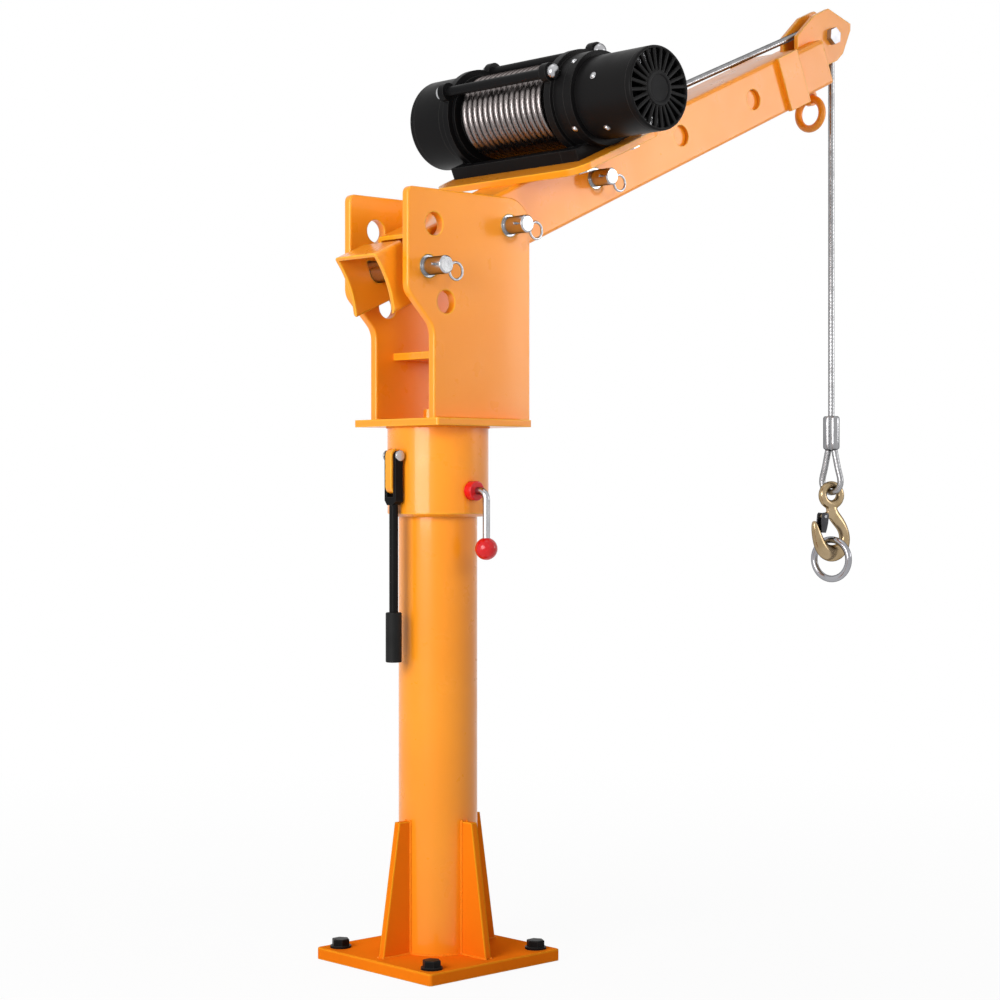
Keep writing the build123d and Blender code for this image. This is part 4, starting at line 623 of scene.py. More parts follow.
@dataclass
class WireRope:
    """Steel rope of twisted strands: wraps on the drum, run, bend over the sheave, fall and end loop."""

    GROOVE = "groove"
    DRUM_SHADE = "drum_shade"
    LAY = "lay"

    rack: FinishRack
    boom: BoomFrame
    sleeve: bpy.types.Object
    diameter: float = 0.0085
    lay_length: float = 0.06
    strands: int = 12
    points_per_strand: int = 4
    relief: float = 0.35
    wind_radius: float = 0.046
    pitch: float = 0.009
    far_turns: float = 8.0
    near_turns: float = 7.5
    points_per_turn: int = 16
    sheave_radius: float = 0.018
    fall_length: float = 0.5084
    ferrule_length: float = 0.045
    loop_yaw: float = math.radians(-82.0)
    loop_length: float = 0.05775
    loop_radius: float = 0.014
    leg_spread: float = 0.0046
    leg_levels: tuple[float, float] = (0.3, 0.62)
    loop_turns: tuple[float, float] = (-3.0, 42.0)
    bend_parts: int = 3
    held_diameters: float = 6.0
    wrap_steps: int = 6
    loop_steps: int = 10
    run_steps: int = 130
    bend_steps: int = 12
    fall_steps: int = 120

    def __post_init__(self) -> None:
        """Work out the tangent of drum and sheave."""
        self.drum = self.boom.point(*self.boom.winch)
        self.sheave = self.boom.point(*self.boom.sheave)
        span = self.sheave - self.drum
        turn = math.atan2(span.z, span.x) + math.asin((self.wind_radius + self.sheave_radius) / span.length)
        self.run_way = Vector((math.cos(turn), 0.0, math.sin(turn)))
        self.run_up = Vector((-math.sin(turn), 0.0, math.cos(turn)))
        self.run_start = self.drum - self.run_up * self.wind_radius
        self.run_end = self.sheave + self.run_up * self.sheave_radius
        self.fall_top = self.sheave + Vector((self.sheave_radius, 0.0, 0.0))
        self.fall_bottom = self.fall_top - Vector((0.0, 0.0, self.fall_length))
        self.across = Vector((0.0, 1.0, 0.0))

    def line(self, points: list[Vector], steps: int) -> list[Vector]:
        """Read the points of the smooth line that a route gives.

        Args:
            points: control points of the route.
            steps: number of points in each span of the line.

        Returns:
            The points along the line.
        """
        curve = bpy.data.curves.new("route", "CURVE")
        curve.dimensions = "3D"
        curve.resolution_u = steps
        spline = curve.splines.new("NURBS")
        spline.points.add(len(points) - 1)
        for spot, point in zip(spline.points, points):
            spot.co = (*point, 1.0)
        spline.order_u = 3
        spline.use_endpoint_u = True
        holder = new_piece("route", curve)
        bpy.context.view_layer.update()
        mesh = bpy.data.meshes.new_from_object(holder)
        line = [vertex.co.copy() for vertex in mesh.vertices]
        bpy.data.objects.remove(holder)
        bpy.data.curves.remove(curve)
        bpy.data.meshes.remove(mesh)
        return line

    def section(self) -> list[tuple[float, float, float]]:
        """Outline of the strands in one cut through the rope.

        Returns:
            Angle, radius and depth of groove (0 to 1) of each point.
        """
        reach = self.diameter / 2
        strand = reach / 3
        centre = reach - strand
        rows = []
        for index in range(self.strands * self.points_per_strand):
            turn = (index % self.points_per_strand) / self.points_per_strand - 0.5
            side = turn * 2 * math.pi / self.strands
            cut = max(strand**2 - (centre * math.sin(side)) ** 2, 0.0)
            radius = centre * math.cos(side) + math.sqrt(cut)
            radius = reach - (reach - radius) * self.relief
            angle = 2 * math.pi * index / (self.strands * self.points_per_strand)
            rows.append((angle, radius, abs(2 * turn)))
        return rows

    def tube(
        self, name: str, line: list[Vector], side: Vector, begin: float = 0.0, drum_shade: float = 0.0
    ) -> bpy.types.Object:
        """Twist the strands along a line.

        Args:
            name: name of the piece.
            line: points of the rope's centreline.
            side: direction that the section starts from.
            begin: length of rope before this piece, which keeps the twist going.
            drum_shade: share of painted shade on it, which makes the rope darker where it is wound on the
                drum.

        Returns:
            The rope as a mesh piece.
        """
        section = self.section()
        count = len(section)
        shape = bmesh.new()
        groove = shape.verts.layers.float.new(self.GROOVE)
        drum_shade_layer = shape.verts.layers.float.new(self.DRUM_SHADE)
        lay = shape.loops.layers.uv.new(self.LAY)
        rings = []
        travels = []
        travel = begin
        for index, spot in enumerate(line):
            before = line[max(index - 1, 0)]
            after = line[min(index + 1, len(line) - 1)]
            way = (after - before).normalized()
            out = (side - way * side.dot(way)).normalized()
            rise = way.cross(out)
            if index > 0:
                travel += (spot - line[index - 1]).length
            twist = 2 * math.pi * travel / self.lay_length
            ring = []
            for angle, radius, depth in section:
                turned = angle + twist
                vertex = shape.verts.new(spot + (out * math.cos(turned) + rise * math.sin(turned)) * radius)
                vertex[groove] = depth
                vertex[drum_shade_layer] = drum_shade
                ring.append(vertex)
            rings.append(ring)
            travels.append(travel)
        for row, (lower, upper) in enumerate(zip(rings, rings[1:])):
            for column in range(count):
                beside = (column + 1) % count
                face = shape.faces.new((lower[column], lower[beside], upper[beside], upper[column]))
                face.smooth = True
                corners = ((column, row), (column + 1, row), (column + 1, row + 1), (column, row + 1))
                for loop, (step, level) in zip(face.loops, corners):
                    around = step / count + travels[level] / self.lay_length
                    loop[lay].uv = (around, travels[level] / self.diameter)
        shape.faces.new(tuple(reversed(rings[0])))
        shape.faces.new(tuple(rings[-1]))
        return self.rack.piece(name, to_mesh(shape, name), FinishName.WIRE_ROPE)

    @staticmethod
    def length(line: list[Vector]) -> float:
        """Length of a line of points."""
        return sum((after - before).length for before, after in zip(line, line[1:]))

    def wrap_corner(self, angle: float, start: float) -> Vector:
        """Control point of a wrap, where the tangents of two neighbouring points meet.

        Args:
            angle: turn from the point where the rope leaves the drum.
            start: metres across from the middle of the drum at no turn.

        Returns:
            The point.
        """
        reach = self.wind_radius / math.cos(math.pi / self.points_per_turn)
        across = start + self.pitch * angle / (2 * math.pi)
        spot = self.drum + self.across * across
        return spot - self.run_way * (reach * math.sin(angle)) - self.run_up * (reach * math.cos(angle))

    def wraps(self, name: str, start: float, turns: float, way: int) -> bpy.types.Object:
        """Wind the rope on the drum.

        Args:
            name: name of the CAD winding that the piece stands for.
            start: metres across at no turn.
            turns: number of turns.
            way: +1 for wraps towards the gear case, -1 for the same helix on towards the motor.

        Returns:
            The wraps.
        """
        step = way * 2 * math.pi / self.points_per_turn
        count = round(turns * self.points_per_turn)
        route = []
        if way > 0:
            route.append(self.run_start + self.across * start + self.run_way * self.diameter)
        # The near wraps start a little past the point where the run leaves the drum
        skip = 0 if way > 0 else 2
        route += [self.wrap_corner((index + 0.5) * step, start) for index in range(skip, count)]
        end_angle = way * turns * 2 * math.pi
        end_way = (self.run_up * math.sin(end_angle) - self.run_way * math.cos(end_angle)) * way
        flat = self.drum + self.across * (start + way * self.pitch * turns)
        out = self.run_way * math.sin(end_angle) + self.run_up * math.cos(end_angle)
        end = flat - out * self.wind_radius
        route.append(end + end_way * self.diameter)
        # The wraps on the drum take the full painted shade
        piece = self.tube(name + "_strands", self.line(route, self.wrap_steps), self.across, drum_shade=1.0)
        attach(piece, "drum")
        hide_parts(name)
        return piece

    def bend(self) -> list[Vector]:
        """Control points of the bend over the sheave, on the tangents of its groove.

        Returns:
            The points, from the run to the fall.
        """
        first = math.atan2(self.run_up.z, self.run_up.x)
        step = first / self.bend_parts
        reach = self.sheave_radius / math.cos(step / 2)
        corners = []
        for index in range(self.bend_parts):
            angle = first - (index + 0.5) * step
            corners.append(self.sheave + Vector((math.cos(angle), 0.0, math.sin(angle))) * reach)
        return [self.run_end, *corners, self.fall_top]

    def loop(self) -> bpy.types.Object:
        """Bend the end loop under the pressed sleeve.

        Returns:
            The loop.
        """
        top = self.fall_bottom - Vector((0.0, 0.0, self.ferrule_length))
        way = Vector((math.cos(self.loop_yaw), math.sin(self.loop_yaw), 0.0))
        middle = self.loop_length - self.loop_radius
        wide = self.loop_radius / math.cos(math.pi / 8)
        slant = (self.loop_radius - self.leg_spread) / middle
        half = [(self.leg_spread, 0.0)]
        half += [(self.leg_spread + slant * level * middle, level * middle) for level in self.leg_levels]
        for turn in self.loop_turns:
            angle = math.radians(turn)
            half.append((wide * math.cos(angle), middle + wide * math.sin(angle)))
        whole = half + [(0.0, middle + wide)] + [(-out, drop) for out, drop in reversed(half)]
        route = [top + way * out - Vector((0.0, 0.0, drop)) for out, drop in whole]
        line = self.line(route, self.loop_steps)
        piece = self.tube("rope_eye_strands", line, way.cross(Vector((0.0, 0.0, 1.0))))
        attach(piece, "rope_end")
        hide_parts("rope_eye")
        return piece

    def build(self) -> None:
        lead = self.run_way * self.diameter
        hold = self.held_diameters * self.diameter
        run_line = self.line(
            [self.run_start + lead, self.run_start + lead + self.run_way * hold,
             self.run_end - self.run_way * hold, self.run_end],
            self.run_steps,
        )
        run = self.tube("rope_run_strands", run_line, self.across)
        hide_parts("rope_run")
        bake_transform(run)
        begin = self.length(run_line)
        bend_line = self.line(self.bend(), self.bend_steps)
        over = self.tube("rope_over_strands", bend_line, self.across, begin)
        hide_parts("rope_over_sheave")
        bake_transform(over)
        begin += self.length(bend_line)
        drop = Vector((0.0, 0.0, hold))
        fall_line = self.line(
            [self.fall_top, self.fall_top - drop, self.fall_bottom + drop, self.fall_bottom],
            self.fall_steps,
        )
        fall = self.tube("rope_fall_strands", fall_line, self.across, begin)
        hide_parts("rope_fall")
        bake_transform(fall)
        loop = self.loop()
        self.wraps("rope_winding_far", 0.0, self.far_turns, 1)
        self.wraps("rope_winding_near", 0.0, self.near_turns, -1)
        self.length(run_line)
        self.length(fall_line)
        log.info("rope run %.3f m, fall %.3f m", self.length(run_line), self.length(fall_line))


def lathe(profile: Profile, parts: int, closed: bool) -> bmesh.types.BMesh:
    """Turn a profile round the Z axis.

    Args:
        profile: radius and height of each point, in millimetres; a radius of 0 is a pole.
        parts: number of steps round.
        closed: whether the profile's last point joins its first.

    Returns:
        The shape in metres.
    """
    shape = bmesh.new()
    rings = []
    for radius, height in profile:
        count = parts if radius > 0 else 1
        turns = [2 * math.pi * index / parts for index in range(count)]
        spots = [Vector((radius * math.cos(turn), radius * math.sin(turn), height)) for turn in turns]
        rings.append([shape.verts.new(spot * MM) for spot in spots])
    join_rings(shape, rings, closed)
    return shape


def shade(mesh: bpy.types.Mesh, crease: float) -> None:
    """Shade a mesh smooth, apart from edges sharper than a crease.

    Args:
        mesh: the mesh.
        crease: angle in degrees.
    """
    shape = bmesh.new()
    shape.from_mesh(mesh)
    for face in shape.faces:
        face.smooth = True
    for edge in shape.edges:
        edge.smooth = not edge.is_manifold or edge.calc_face_angle() < math.radians(crease)
    shape.to_mesh(mesh)
    shape.free()


class Pattern(Tree):
    """A Geometry Nodes tree for what repeats, and the plain mesh that it makes."""

    def __init__(self, name: str, material: bpy.types.Material) -> None:
        """Start an empty tree.

        Args:
            name: name of the tree.
            material: finish of what it makes.
        """
        super().__init__(bpy.data.node_groups.new(name, "GeometryNodeTree"))
        for way in ("INPUT", "OUTPUT"):
            self.tree.interface.new_socket("Geometry", in_out=way, socket_type="NodeSocketGeometry")
        self.entry = self.node("NodeGroupInput")
        self.exit = self.node("NodeGroupOutput")
        self.material = material
        self.values: dict[str, float | int] = {}

    def size(self, name: str, value: float | int) -> bpy.types.NodeSocket:
        """Add a named input.

        Args:
            name: name of the input.
            value: what the piece gives it.

        Returns:
            The socket that carries it.
        """
        kind = "NodeSocketInt" if isinstance(value, int) else "NodeSocketFloat"
        item = self.tree.interface.new_socket(name, in_out="INPUT", socket_type=kind)
        self.values[item.identifier] = value
        return self.entry.outputs[name]

    def maths(self, operation: str, first: object, second: object = 0.0) -> bpy.types.NodeSocket:
        """Work out one number from two."""
        return self.node("ShaderNodeMath", {0: first, 1: second}, operation=operation).outputs[0]

    def vector(self, x: object, y: object, z: object) -> bpy.types.NodeSocket:
        """Put three numbers together."""
        return self.node("ShaderNodeCombineXYZ", {0: x, 1: y, 2: z}).outputs[0]

    def mesh(self, shape: bpy.types.NodeSocket, holder: bpy.types.Mesh) -> bpy.types.Mesh:
        """Close the tree and read what it makes.

        Args:
            shape: the instances.
            holder: mesh that the tree starts from.

        Returns:
            The plain mesh.
        """
        real = self.node("GeometryNodeRealizeInstances", {0: shape}).outputs[0]
        smooth = self.node("GeometryNodeSetShadeSmooth", {0: real}).outputs[0]
        dressed = self.node("GeometryNodeSetMaterial", {"Geometry": smooth, "Material": self.material})
        self.feed(self.exit, {0: dressed.outputs[0]})
        piece = new_piece("pattern", holder)
        modifier = piece.modifiers.new("pattern", "NODES")
        modifier.node_group = self.tree
        for identifier, value in self.values.items():
            modifier[identifier] = value
        bpy.context.view_layer.update()
        seen = piece.evaluated_get(bpy.context.evaluated_depsgraph_get())
        mesh = bpy.data.meshes.new_from_object(seen)
        piece.modifiers.clear()
        bpy.data.objects.remove(piece)
        return mesh


@dataclass
class PressedSleeve:
    """Aluminium sleeve that is pressed round the rope's two legs, so it shows two lobes."""

    rack: FinishRack
    middle: tuple[float, float] = (708.958, 0.0)
    top: float = 629.887
    length: float = 45.0
    lobe_radius: float = 7.4
    lobe_out: float = 4.1
    yaw: float = math.radians(-82.0)
    parts: int = 24
    ends: Profile = ((0.0, 0.78), (0.5, 0.87), (1.3, 0.95), (2.8, 1.0), (10.0, 1.0))

    def outline(self) -> list[tuple[float, float]]:
        """Points of the two lobes, round once.

        Returns:
            Position along the wide side and across it, in millimetres.
        """
        waist = math.acos(-self.lobe_out / self.lobe_radius)
        rows = []
        for side in (1, -1):
            for index in range(self.parts):
                turn = waist * (2 * index / self.parts - 1)
                wide = self.lobe_out + self.lobe_radius * math.cos(turn)
                rows.append((side * wide, side * self.lobe_radius * math.sin(turn)))
        return rows

    def build(self) -> bpy.types.Object:
        """Make the sleeve.

        Returns:
            The piece.
        """
        levels = [*self.ends, *((self.length - drop, share) for drop, share in reversed(self.ends))]
        way = Vector((math.cos(self.yaw), math.sin(self.yaw), 0.0))
        cross = Vector((-way.y, way.x, 0.0))
        shape = bmesh.new()
        rings = []
        for drop, share in levels:
            spot = Vector((*self.middle, self.top - drop))
            rings.append([
                shape.verts.new((spot + way * (wide * share) + cross * (deep * share)) * MM)
                for wide, deep in self.outline()
            ])
        join_rings(shape, rings, False)
        mesh = to_mesh(shape, "rope_sleeve")
        shade(mesh, 40.0)
        piece = self.rack.piece("rope_sleeve", mesh, FinishName.PRESSED_ALUMINIUM)
        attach(piece, "rope_end")
        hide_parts("rope_ferrule")
        return piece


@dataclass
class ForgedHook:
    """Forged hook: an oval eye, a neck with the latch's lug, and a bowl that is thickest at the bottom.

    The rows give each section's place in the hook's plane from the middle of its eye, then half its width
    and half its thickness, in millimetres.
    """

    rack: FinishRack
    eye: tuple[float, float, float] = (708.958, 0.0, 520.487)
    yaw: float = math.radians(-15.0)
    ring_rise: float = 3.3
    ring_reach: tuple[float, float] = (14.6, 13.6)
    ring_bar: tuple[float, float] = (5.2, 6.4)
    ring_steps: int = 24
    parts: int = 16
    voxel: float = 0.0008
    body: tuple[Section, ...] = (
        (0.0, -11.0, 8.0, 6.2), (0.0, -16.0, 8.6, 6.4), (3.0, -24.0, 9.0, 6.6), (12.0, -33.0, 8.8, 7.0),
        (19.5, -43.0, 7.4, 7.2), (23.0, -55.0, 7.6, 7.4), (20.2, -66.3, 9.4, 7.8), (11.5, -74.3, 11.6, 8.0),
        (0.0, -76.7, 12.5, 8.0), (-11.5, -73.2, 11.4, 8.0), (-19.2, -64.2, 9.2, 7.5),
        (-23.2, -53.5, 7.4, 7.0), (-26.2, -43.5, 5.9, 6.0), (-28.0, -36.0, 4.0, 4.8),
        (-28.4, -31.5, 2.2, 3.0),
    )
    lug: tuple[Section, ...] = (
        (2.0, -23.0, 5.6, 3.6), (-7.0, -24.5, 5.2, 3.6), (-14.0, -26.0, 4.8, 3.6), (-17.4, -26.7, 3.0, 3.2),
    )
    latch_pivot: tuple[float, float] = (-14.0, -26.0)
    latch_tip: tuple[float, float] = (-16.6, -47.5)
    latch_half: float = 6.2
    latch_wall: float = 2.2
    latch_edge: float = 5.6
    latch_rounding: float = 0.0005
    rounding_levels: int = 2
    easing_steps: int = 8

    def sweep(self, shape: bmesh.types.BMesh, rows: tuple[Section, ...], closed: bool) -> None:
        """Skin rounded sections along a line in the hook's plane.

        Args:
            shape: the mesh to add to.
            rows: place, half width and half thickness of each section.
            closed: whether the last section joins the first.
        """
        rings = []
        for index, (out, up, wide, deep) in enumerate(rows):
            after = rows[(index + 1) % len(rows)] if closed else rows[min(index + 1, len(rows) - 1)]
            before = rows[index - 1] if closed else rows[max(index - 1, 0)]
            way = Vector((after[0] - before[0], after[1] - before[1], 0.0)).normalized()
            side = Vector((way.y, -way.x, 0.0))
            ring = []
            for step in range(self.parts):
                turn = 2 * math.pi * step / self.parts
                spot = Vector((out, up, 0.0)) + side * (wide * math.cos(turn))
                ring.append(shape.verts.new((spot + Vector((0.0, 0.0, deep * math.sin(turn)))) * MM))
            rings.append(ring)
        join_rings(shape, rings, closed)

    def ring(self) -> tuple[Section, ...]:
        """Sections of the oval eye, thicker towards the neck.

        Returns:
            The sections, once round.
        """
        rows = []
        for step in range(self.ring_steps):
            turn = 2 * math.pi * step / self.ring_steps
            low = (1.0 - math.sin(turn)) / 2
            bar = self.ring_bar[0] + (self.ring_bar[1] - self.ring_bar[0]) * low
            out = self.ring_reach[0] * math.cos(turn)
            rows.append((out, self.ring_rise + self.ring_reach[1] * math.sin(turn), bar, bar))
        return tuple(rows)

    def place(self, mesh: bpy.types.Mesh) -> None:
        """Move a mesh from the hook's plane to its place.

        Args:
            mesh: mesh with X across the hook, Y up and Z square to its plane.
        """
        way = Vector((math.cos(self.yaw), math.sin(self.yaw), 0.0))
        up = Vector((0.0, 0.0, 1.0))
        turned = Matrix((way, up, way.cross(up))).transposed().to_4x4()
        mesh.transform(Matrix.Translation(Vector(self.eye) * MM) @ turned)

    def latch(self) -> None:
        """Fold the sprung latch: a channel of plate from its pin down to the inside of the hook's tip."""
        root = Vector((*self.latch_pivot, 0.0))
        way = Vector((*self.latch_tip, 0.0)) - root
        length = way.length
        way.normalize()
        side = Vector((way.y, -way.x, 0.0))
        deep = Vector((0.0, 0.0, 1.0))
        half, wall, edge = self.latch_half, self.latch_wall, self.latch_edge
        channel = (
            (-edge, half), (-edge, -half), (edge, -half), (edge, wall - half), (wall - edge, wall - half),
            (wall - edge, half - wall), (edge, half - wall), (edge, half),
        )
        levels = ((-5.0, 0.75), (-2.5, 1.0), (8.0, 1.0), (length * 0.75, 0.82), (length, 0.6))
        shape = bmesh.new()
        rings = []
        for along, share in levels:
            ring = [root + way * along + side * (out * share) + deep * rise for out, rise in channel]
            rings.append([shape.verts.new(spot * MM) for spot in ring])
        join_rings(shape, rings, False)
        bmesh.ops.bevel(
            shape, geom=shape.edges, offset=self.latch_rounding, segments=2, affect="EDGES", profile=0.5
        )
        mesh = to_mesh(shape, "latch_channel")
        shade(mesh, 40.0)
        self.place(mesh)
        piece = self.rack.piece("latch_channel", mesh, FinishName.GREY_STEEL)
        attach(piece, "latch")
        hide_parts("hook_latch")

    def build(self) -> None:
        """Forge the hook out of its swept forms and put it in its place."""
        shape = bmesh.new()
        self.sweep(shape, self.ring(), True)
        self.sweep(shape, self.body, False)
        self.sweep(shape, self.lug, False)
        blank = new_piece("hook_blank", to_mesh(shape, "hook_blank"))
        rounding = blank.modifiers.new("rounding", "SUBSURF")
        rounding.levels = self.rounding_levels
        rounding.render_levels = self.rounding_levels
        joining = blank.modifiers.new("joining", "REMESH")
        joining.mode = "VOXEL"
        joining.voxel_size = self.voxel
        joining.use_smooth_shade = True
        easing = blank.modifiers.new("easing", "SMOOTH")
        easing.factor = 0.5
        easing.iterations = self.easing_steps
        bpy.context.view_layer.update()
        seen = blank.evaluated_get(bpy.context.evaluated_depsgraph_get())
        forged = bpy.data.meshes.new_from_object(seen)
        bpy.data.objects.remove(blank)
        self.place(forged)
        piece = self.rack.piece("hook_forging", forged, FinishName.GOLD_PLATE)
        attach(piece, "hook")
        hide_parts("hook_body")
        self.latch()


@dataclass(frozen=True)
class ScrewSet:
    """Domed screws or cap nuts round the winch's axis.

    Their place is given in millimetres across the boom and out from the axis, and in degrees round it. Head
    and collar are a radius and a height. The heads point along the axis, or away from it where outward is 1.
    The way is 1 at the motor's end and -1 at the gear case's end.
    """

    name: str
    across: float
    count: int
    radius: float
    first: float
    step: float
    outward: float
    head: tuple[float, float]
    collar: tuple[float, float]
    way: int = 1


@dataclass
class WinchTrim:
    """Cooling grille, cap nuts and screws of the winch."""

    rack: FinishRack
    boom: BoomFrame
    grille_start: float = 196.0
    ribs: int = 24
    rib_from: float = 18.5
    rib_to: float = 45.5
    rib_wide: float = 4.2
    rib_deep: float = 5.0
    rib_level: float = 4.4
    rim: Profile = (
        (47.5, 0.0), (47.5, 5.6), (47.2, 6.8), (46.4, 7.7), (45.4, 8.0), (44.6, 7.7), (44.2, 7.0),
        (44.0, 0.0),
    )
    hub: Profile = (
        (0.0, 1.0), (20.4, 1.0), (20.4, 6.2), (20.1, 7.2), (19.3, 7.9), (18.3, 8.0), (15.6, 8.0),
        (15.0, 7.7), (14.4, 7.2), (0.0, 7.0),
    )
    turned_parts: int = 96
    rib_rounding: float = 1.1
    rib_taper: float = 0.65
    screw_sets: tuple[ScrewSet, ...] = (
        ScrewSet("motor_cap_nuts", -95.5, 2, 62.0, 48.6, 82.8, 0.0, (7.9, 4.2), (8.5, 5.6)),
        ScrewSet("gear_cap_nuts", 97.5, 2, 62.0, 48.6, 82.8, 0.0, (7.9, 4.2), (8.5, 5.6), -1),
        ScrewSet("motor_can_screws", -145.0, 2, 48.3, 136.8, 180.0, 1.0, (3.0, 1.9), (4.2, 1.2)),
        ScrewSet("motor_end_screws", -147.0, 2, 48.3, 214.4, 180.0, 1.0, (3.0, 1.9), (4.2, 1.2)),
        ScrewSet("motor_ring_screws", -109.0, 4, 54.7, 112.0, 90.0, 1.0, (2.9, 1.9), (3.8, 1.2)),
    )

    def place(self, across: float, way: int = 1) -> Matrix:
        """Frame on the winch's axis, whose Z points outwards.

        Args:
            across: millimetres across the boom.
            way: 1 for the motor's end, -1 for the gear case's end.

        Returns:
            The matrix.
        """
        out = Vector((0.0, -1.0, 0.0))
        along, _, up = self.boom.winch
        spot = Matrix.Translation(self.boom.point(along, across, up))
        turned = Matrix((self.boom.along * way, self.boom.up, out * way)).transposed().to_4x4()
        return spot @ turned

    def rib_mesh(self) -> bpy.types.Mesh:
        """Ribs of the grille, one shape repeated round the axis.

        Returns:
            The mesh.
        """
        pattern = Pattern("grille_ribs", self.rack.materials[FinishName.BLACK_PAINT])
        count = pattern.size("Ribs", self.ribs)
        begin = pattern.size("From", self.rib_from * MM)
        finish = pattern.size("To", self.rib_to * MM)
        wide = pattern.size("Wide", self.rib_wide * MM)
        deep = pattern.size("Deep", self.rib_deep * MM)
        line = pattern.node("GeometryNodeCurvePrimitiveLine", {
            "Start": pattern.vector(begin, 0.0, 0.0), "End": pattern.vector(finish, 0.0, 0.0),
        })
        along = pattern.node("GeometryNodeSplineParameter").outputs["Factor"]
        taper = pattern.maths("ADD", pattern.maths("MULTIPLY", along, 1.0 - self.rib_taper), self.rib_taper)
        thinned = pattern.node("GeometryNodeSetCurveRadius", {"Curve": line.outputs[0], "Radius": taper})
        outline = pattern.node("GeometryNodeCurvePrimitiveQuadrilateral", {"Width": wide, "Height": deep})
        corners = {"Curve": outline.outputs[0], "Count": 2, "Radius": self.rib_rounding * MM}
        rounded = pattern.node("GeometryNodeFilletCurve", corners, mode="POLY")
        skin = pattern.node("GeometryNodeCurveToMesh", {
            "Curve": thinned.outputs[0], "Profile Curve": rounded.outputs[0], "Fill Caps": True,
        })
        points = pattern.node("GeometryNodePoints", {"Count": count})
        number = pattern.node("GeometryNodeInputIndex").outputs[0]
        turn = pattern.maths("DIVIDE", pattern.maths("MULTIPLY", number, 2 * math.pi), count)
        spread = pattern.node("GeometryNodeInstanceOnPoints", {
            "Points": points.outputs[0], "Instance": skin.outputs[0],
            "Rotation": pattern.vector(0.0, 0.0, turn),
        })
        mesh = pattern.mesh(spread.outputs[0], bpy.data.meshes.new("ribs"))
        mesh.transform(Matrix.Translation((0.0, 0.0, self.rib_level * MM)))
        return mesh

    def grille(self) -> None:
        """Cooling grille: rim, ribs and raised hub in one casting."""
        whole = bmesh.new()
        for profile, closed in ((self.rim, True), (self.hub, False)):
            part = to_mesh(lathe(profile, self.turned_parts, closed), "turned")
            whole.from_mesh(part)
            bpy.data.meshes.remove(part)
        whole.from_mesh(self.rib_mesh())
        mesh = to_mesh(whole, "motor_end_grille")
        shade(mesh, 35.0)
        mesh.transform(self.place(-self.grille_start))
        piece = self.rack.piece("motor_end_grille", mesh, FinishName.BLACK_PAINT)
        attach(piece, "boom")
        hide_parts("motor_grille")

    def screws(self, screws: ScrewSet) -> None:
        """Set screws or cap nuts round the winch's axis.

        Args:
            screws: their places and sizes.
        """
        pattern = Pattern(screws.name, self.rack.materials[FinishName.BRIGHT_STEEL])
        number = pattern.node("GeometryNodeInputIndex").outputs[0]
        first = pattern.size("First", math.radians(screws.first))
        step = pattern.size("Step", math.radians(screws.step))
        reach = pattern.size("Reach", screws.radius * MM)
        turn = pattern.maths("ADD", first, pattern.maths("MULTIPLY", number, step))
        across = pattern.maths("COSINE", turn)
        rise = pattern.maths("SINE", turn)
        spot = pattern.vector(
            pattern.maths("MULTIPLY", across, reach), pattern.maths("MULTIPLY", rise, reach), 0.0
        )
        count = pattern.size("Count", screws.count)
        points = pattern.node("GeometryNodePoints", {"Count": count, "Position": spot})
        share = pattern.size("Outward", screws.outward)
        rest = pattern.maths("SUBTRACT", 1.0, share)
        facing = pattern.vector(
            pattern.maths("MULTIPLY", across, share), pattern.maths("MULTIPLY", rise, share), rest
        )
        turned = pattern.node("FunctionNodeAlignRotationToVector", {"Vector": facing}, axis="Z")
        dome = pattern.node("GeometryNodeMeshUVSphere", {"Segments": 16, "Rings": 8, "Radius": 1.0})
        wide = pattern.size("Head radius", screws.head[0] * MM)
        flat = pattern.node("GeometryNodeTransform", {
            "Geometry": dome.outputs[0],
            "Scale": pattern.vector(wide, wide, pattern.size("Head height", screws.head[1] * MM)),
        })
        deep = pattern.size("Collar depth", screws.collar[1] * MM)
        collar = pattern.size("Collar radius", screws.collar[0] * MM)
        ring = pattern.node("GeometryNodeMeshCylinder", {"Vertices": 20, "Radius": collar, "Depth": deep})
        seat = pattern.node("GeometryNodeTransform", {
            "Geometry": ring.outputs[0],
            "Translation": pattern.vector(0.0, 0.0, pattern.maths("MULTIPLY", deep, -0.5)),
        })
        both = pattern.node("GeometryNodeJoinGeometry")
        for part in (flat, seat):
            pattern.feed(both, {0: part.outputs[0]})
        spread = pattern.node("GeometryNodeInstanceOnPoints", {
            "Points": points.outputs[0], "Instance": both.outputs[0], "Rotation": turned.outputs[0]
        })
        mesh = pattern.mesh(spread.outputs[0], bpy.data.meshes.new(screws.name))
        shade(mesh, 40.0)
        mesh.transform(self.place(screws.across, screws.way))
        piece = self.rack.piece(screws.name, mesh, FinishName.BRIGHT_STEEL)
        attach(piece, "boom")

    def build(self) -> None:
        """Make the grille and the hardware."""
        self.grille()
        for screws in self.screw_sets:
            self.screws(screws)


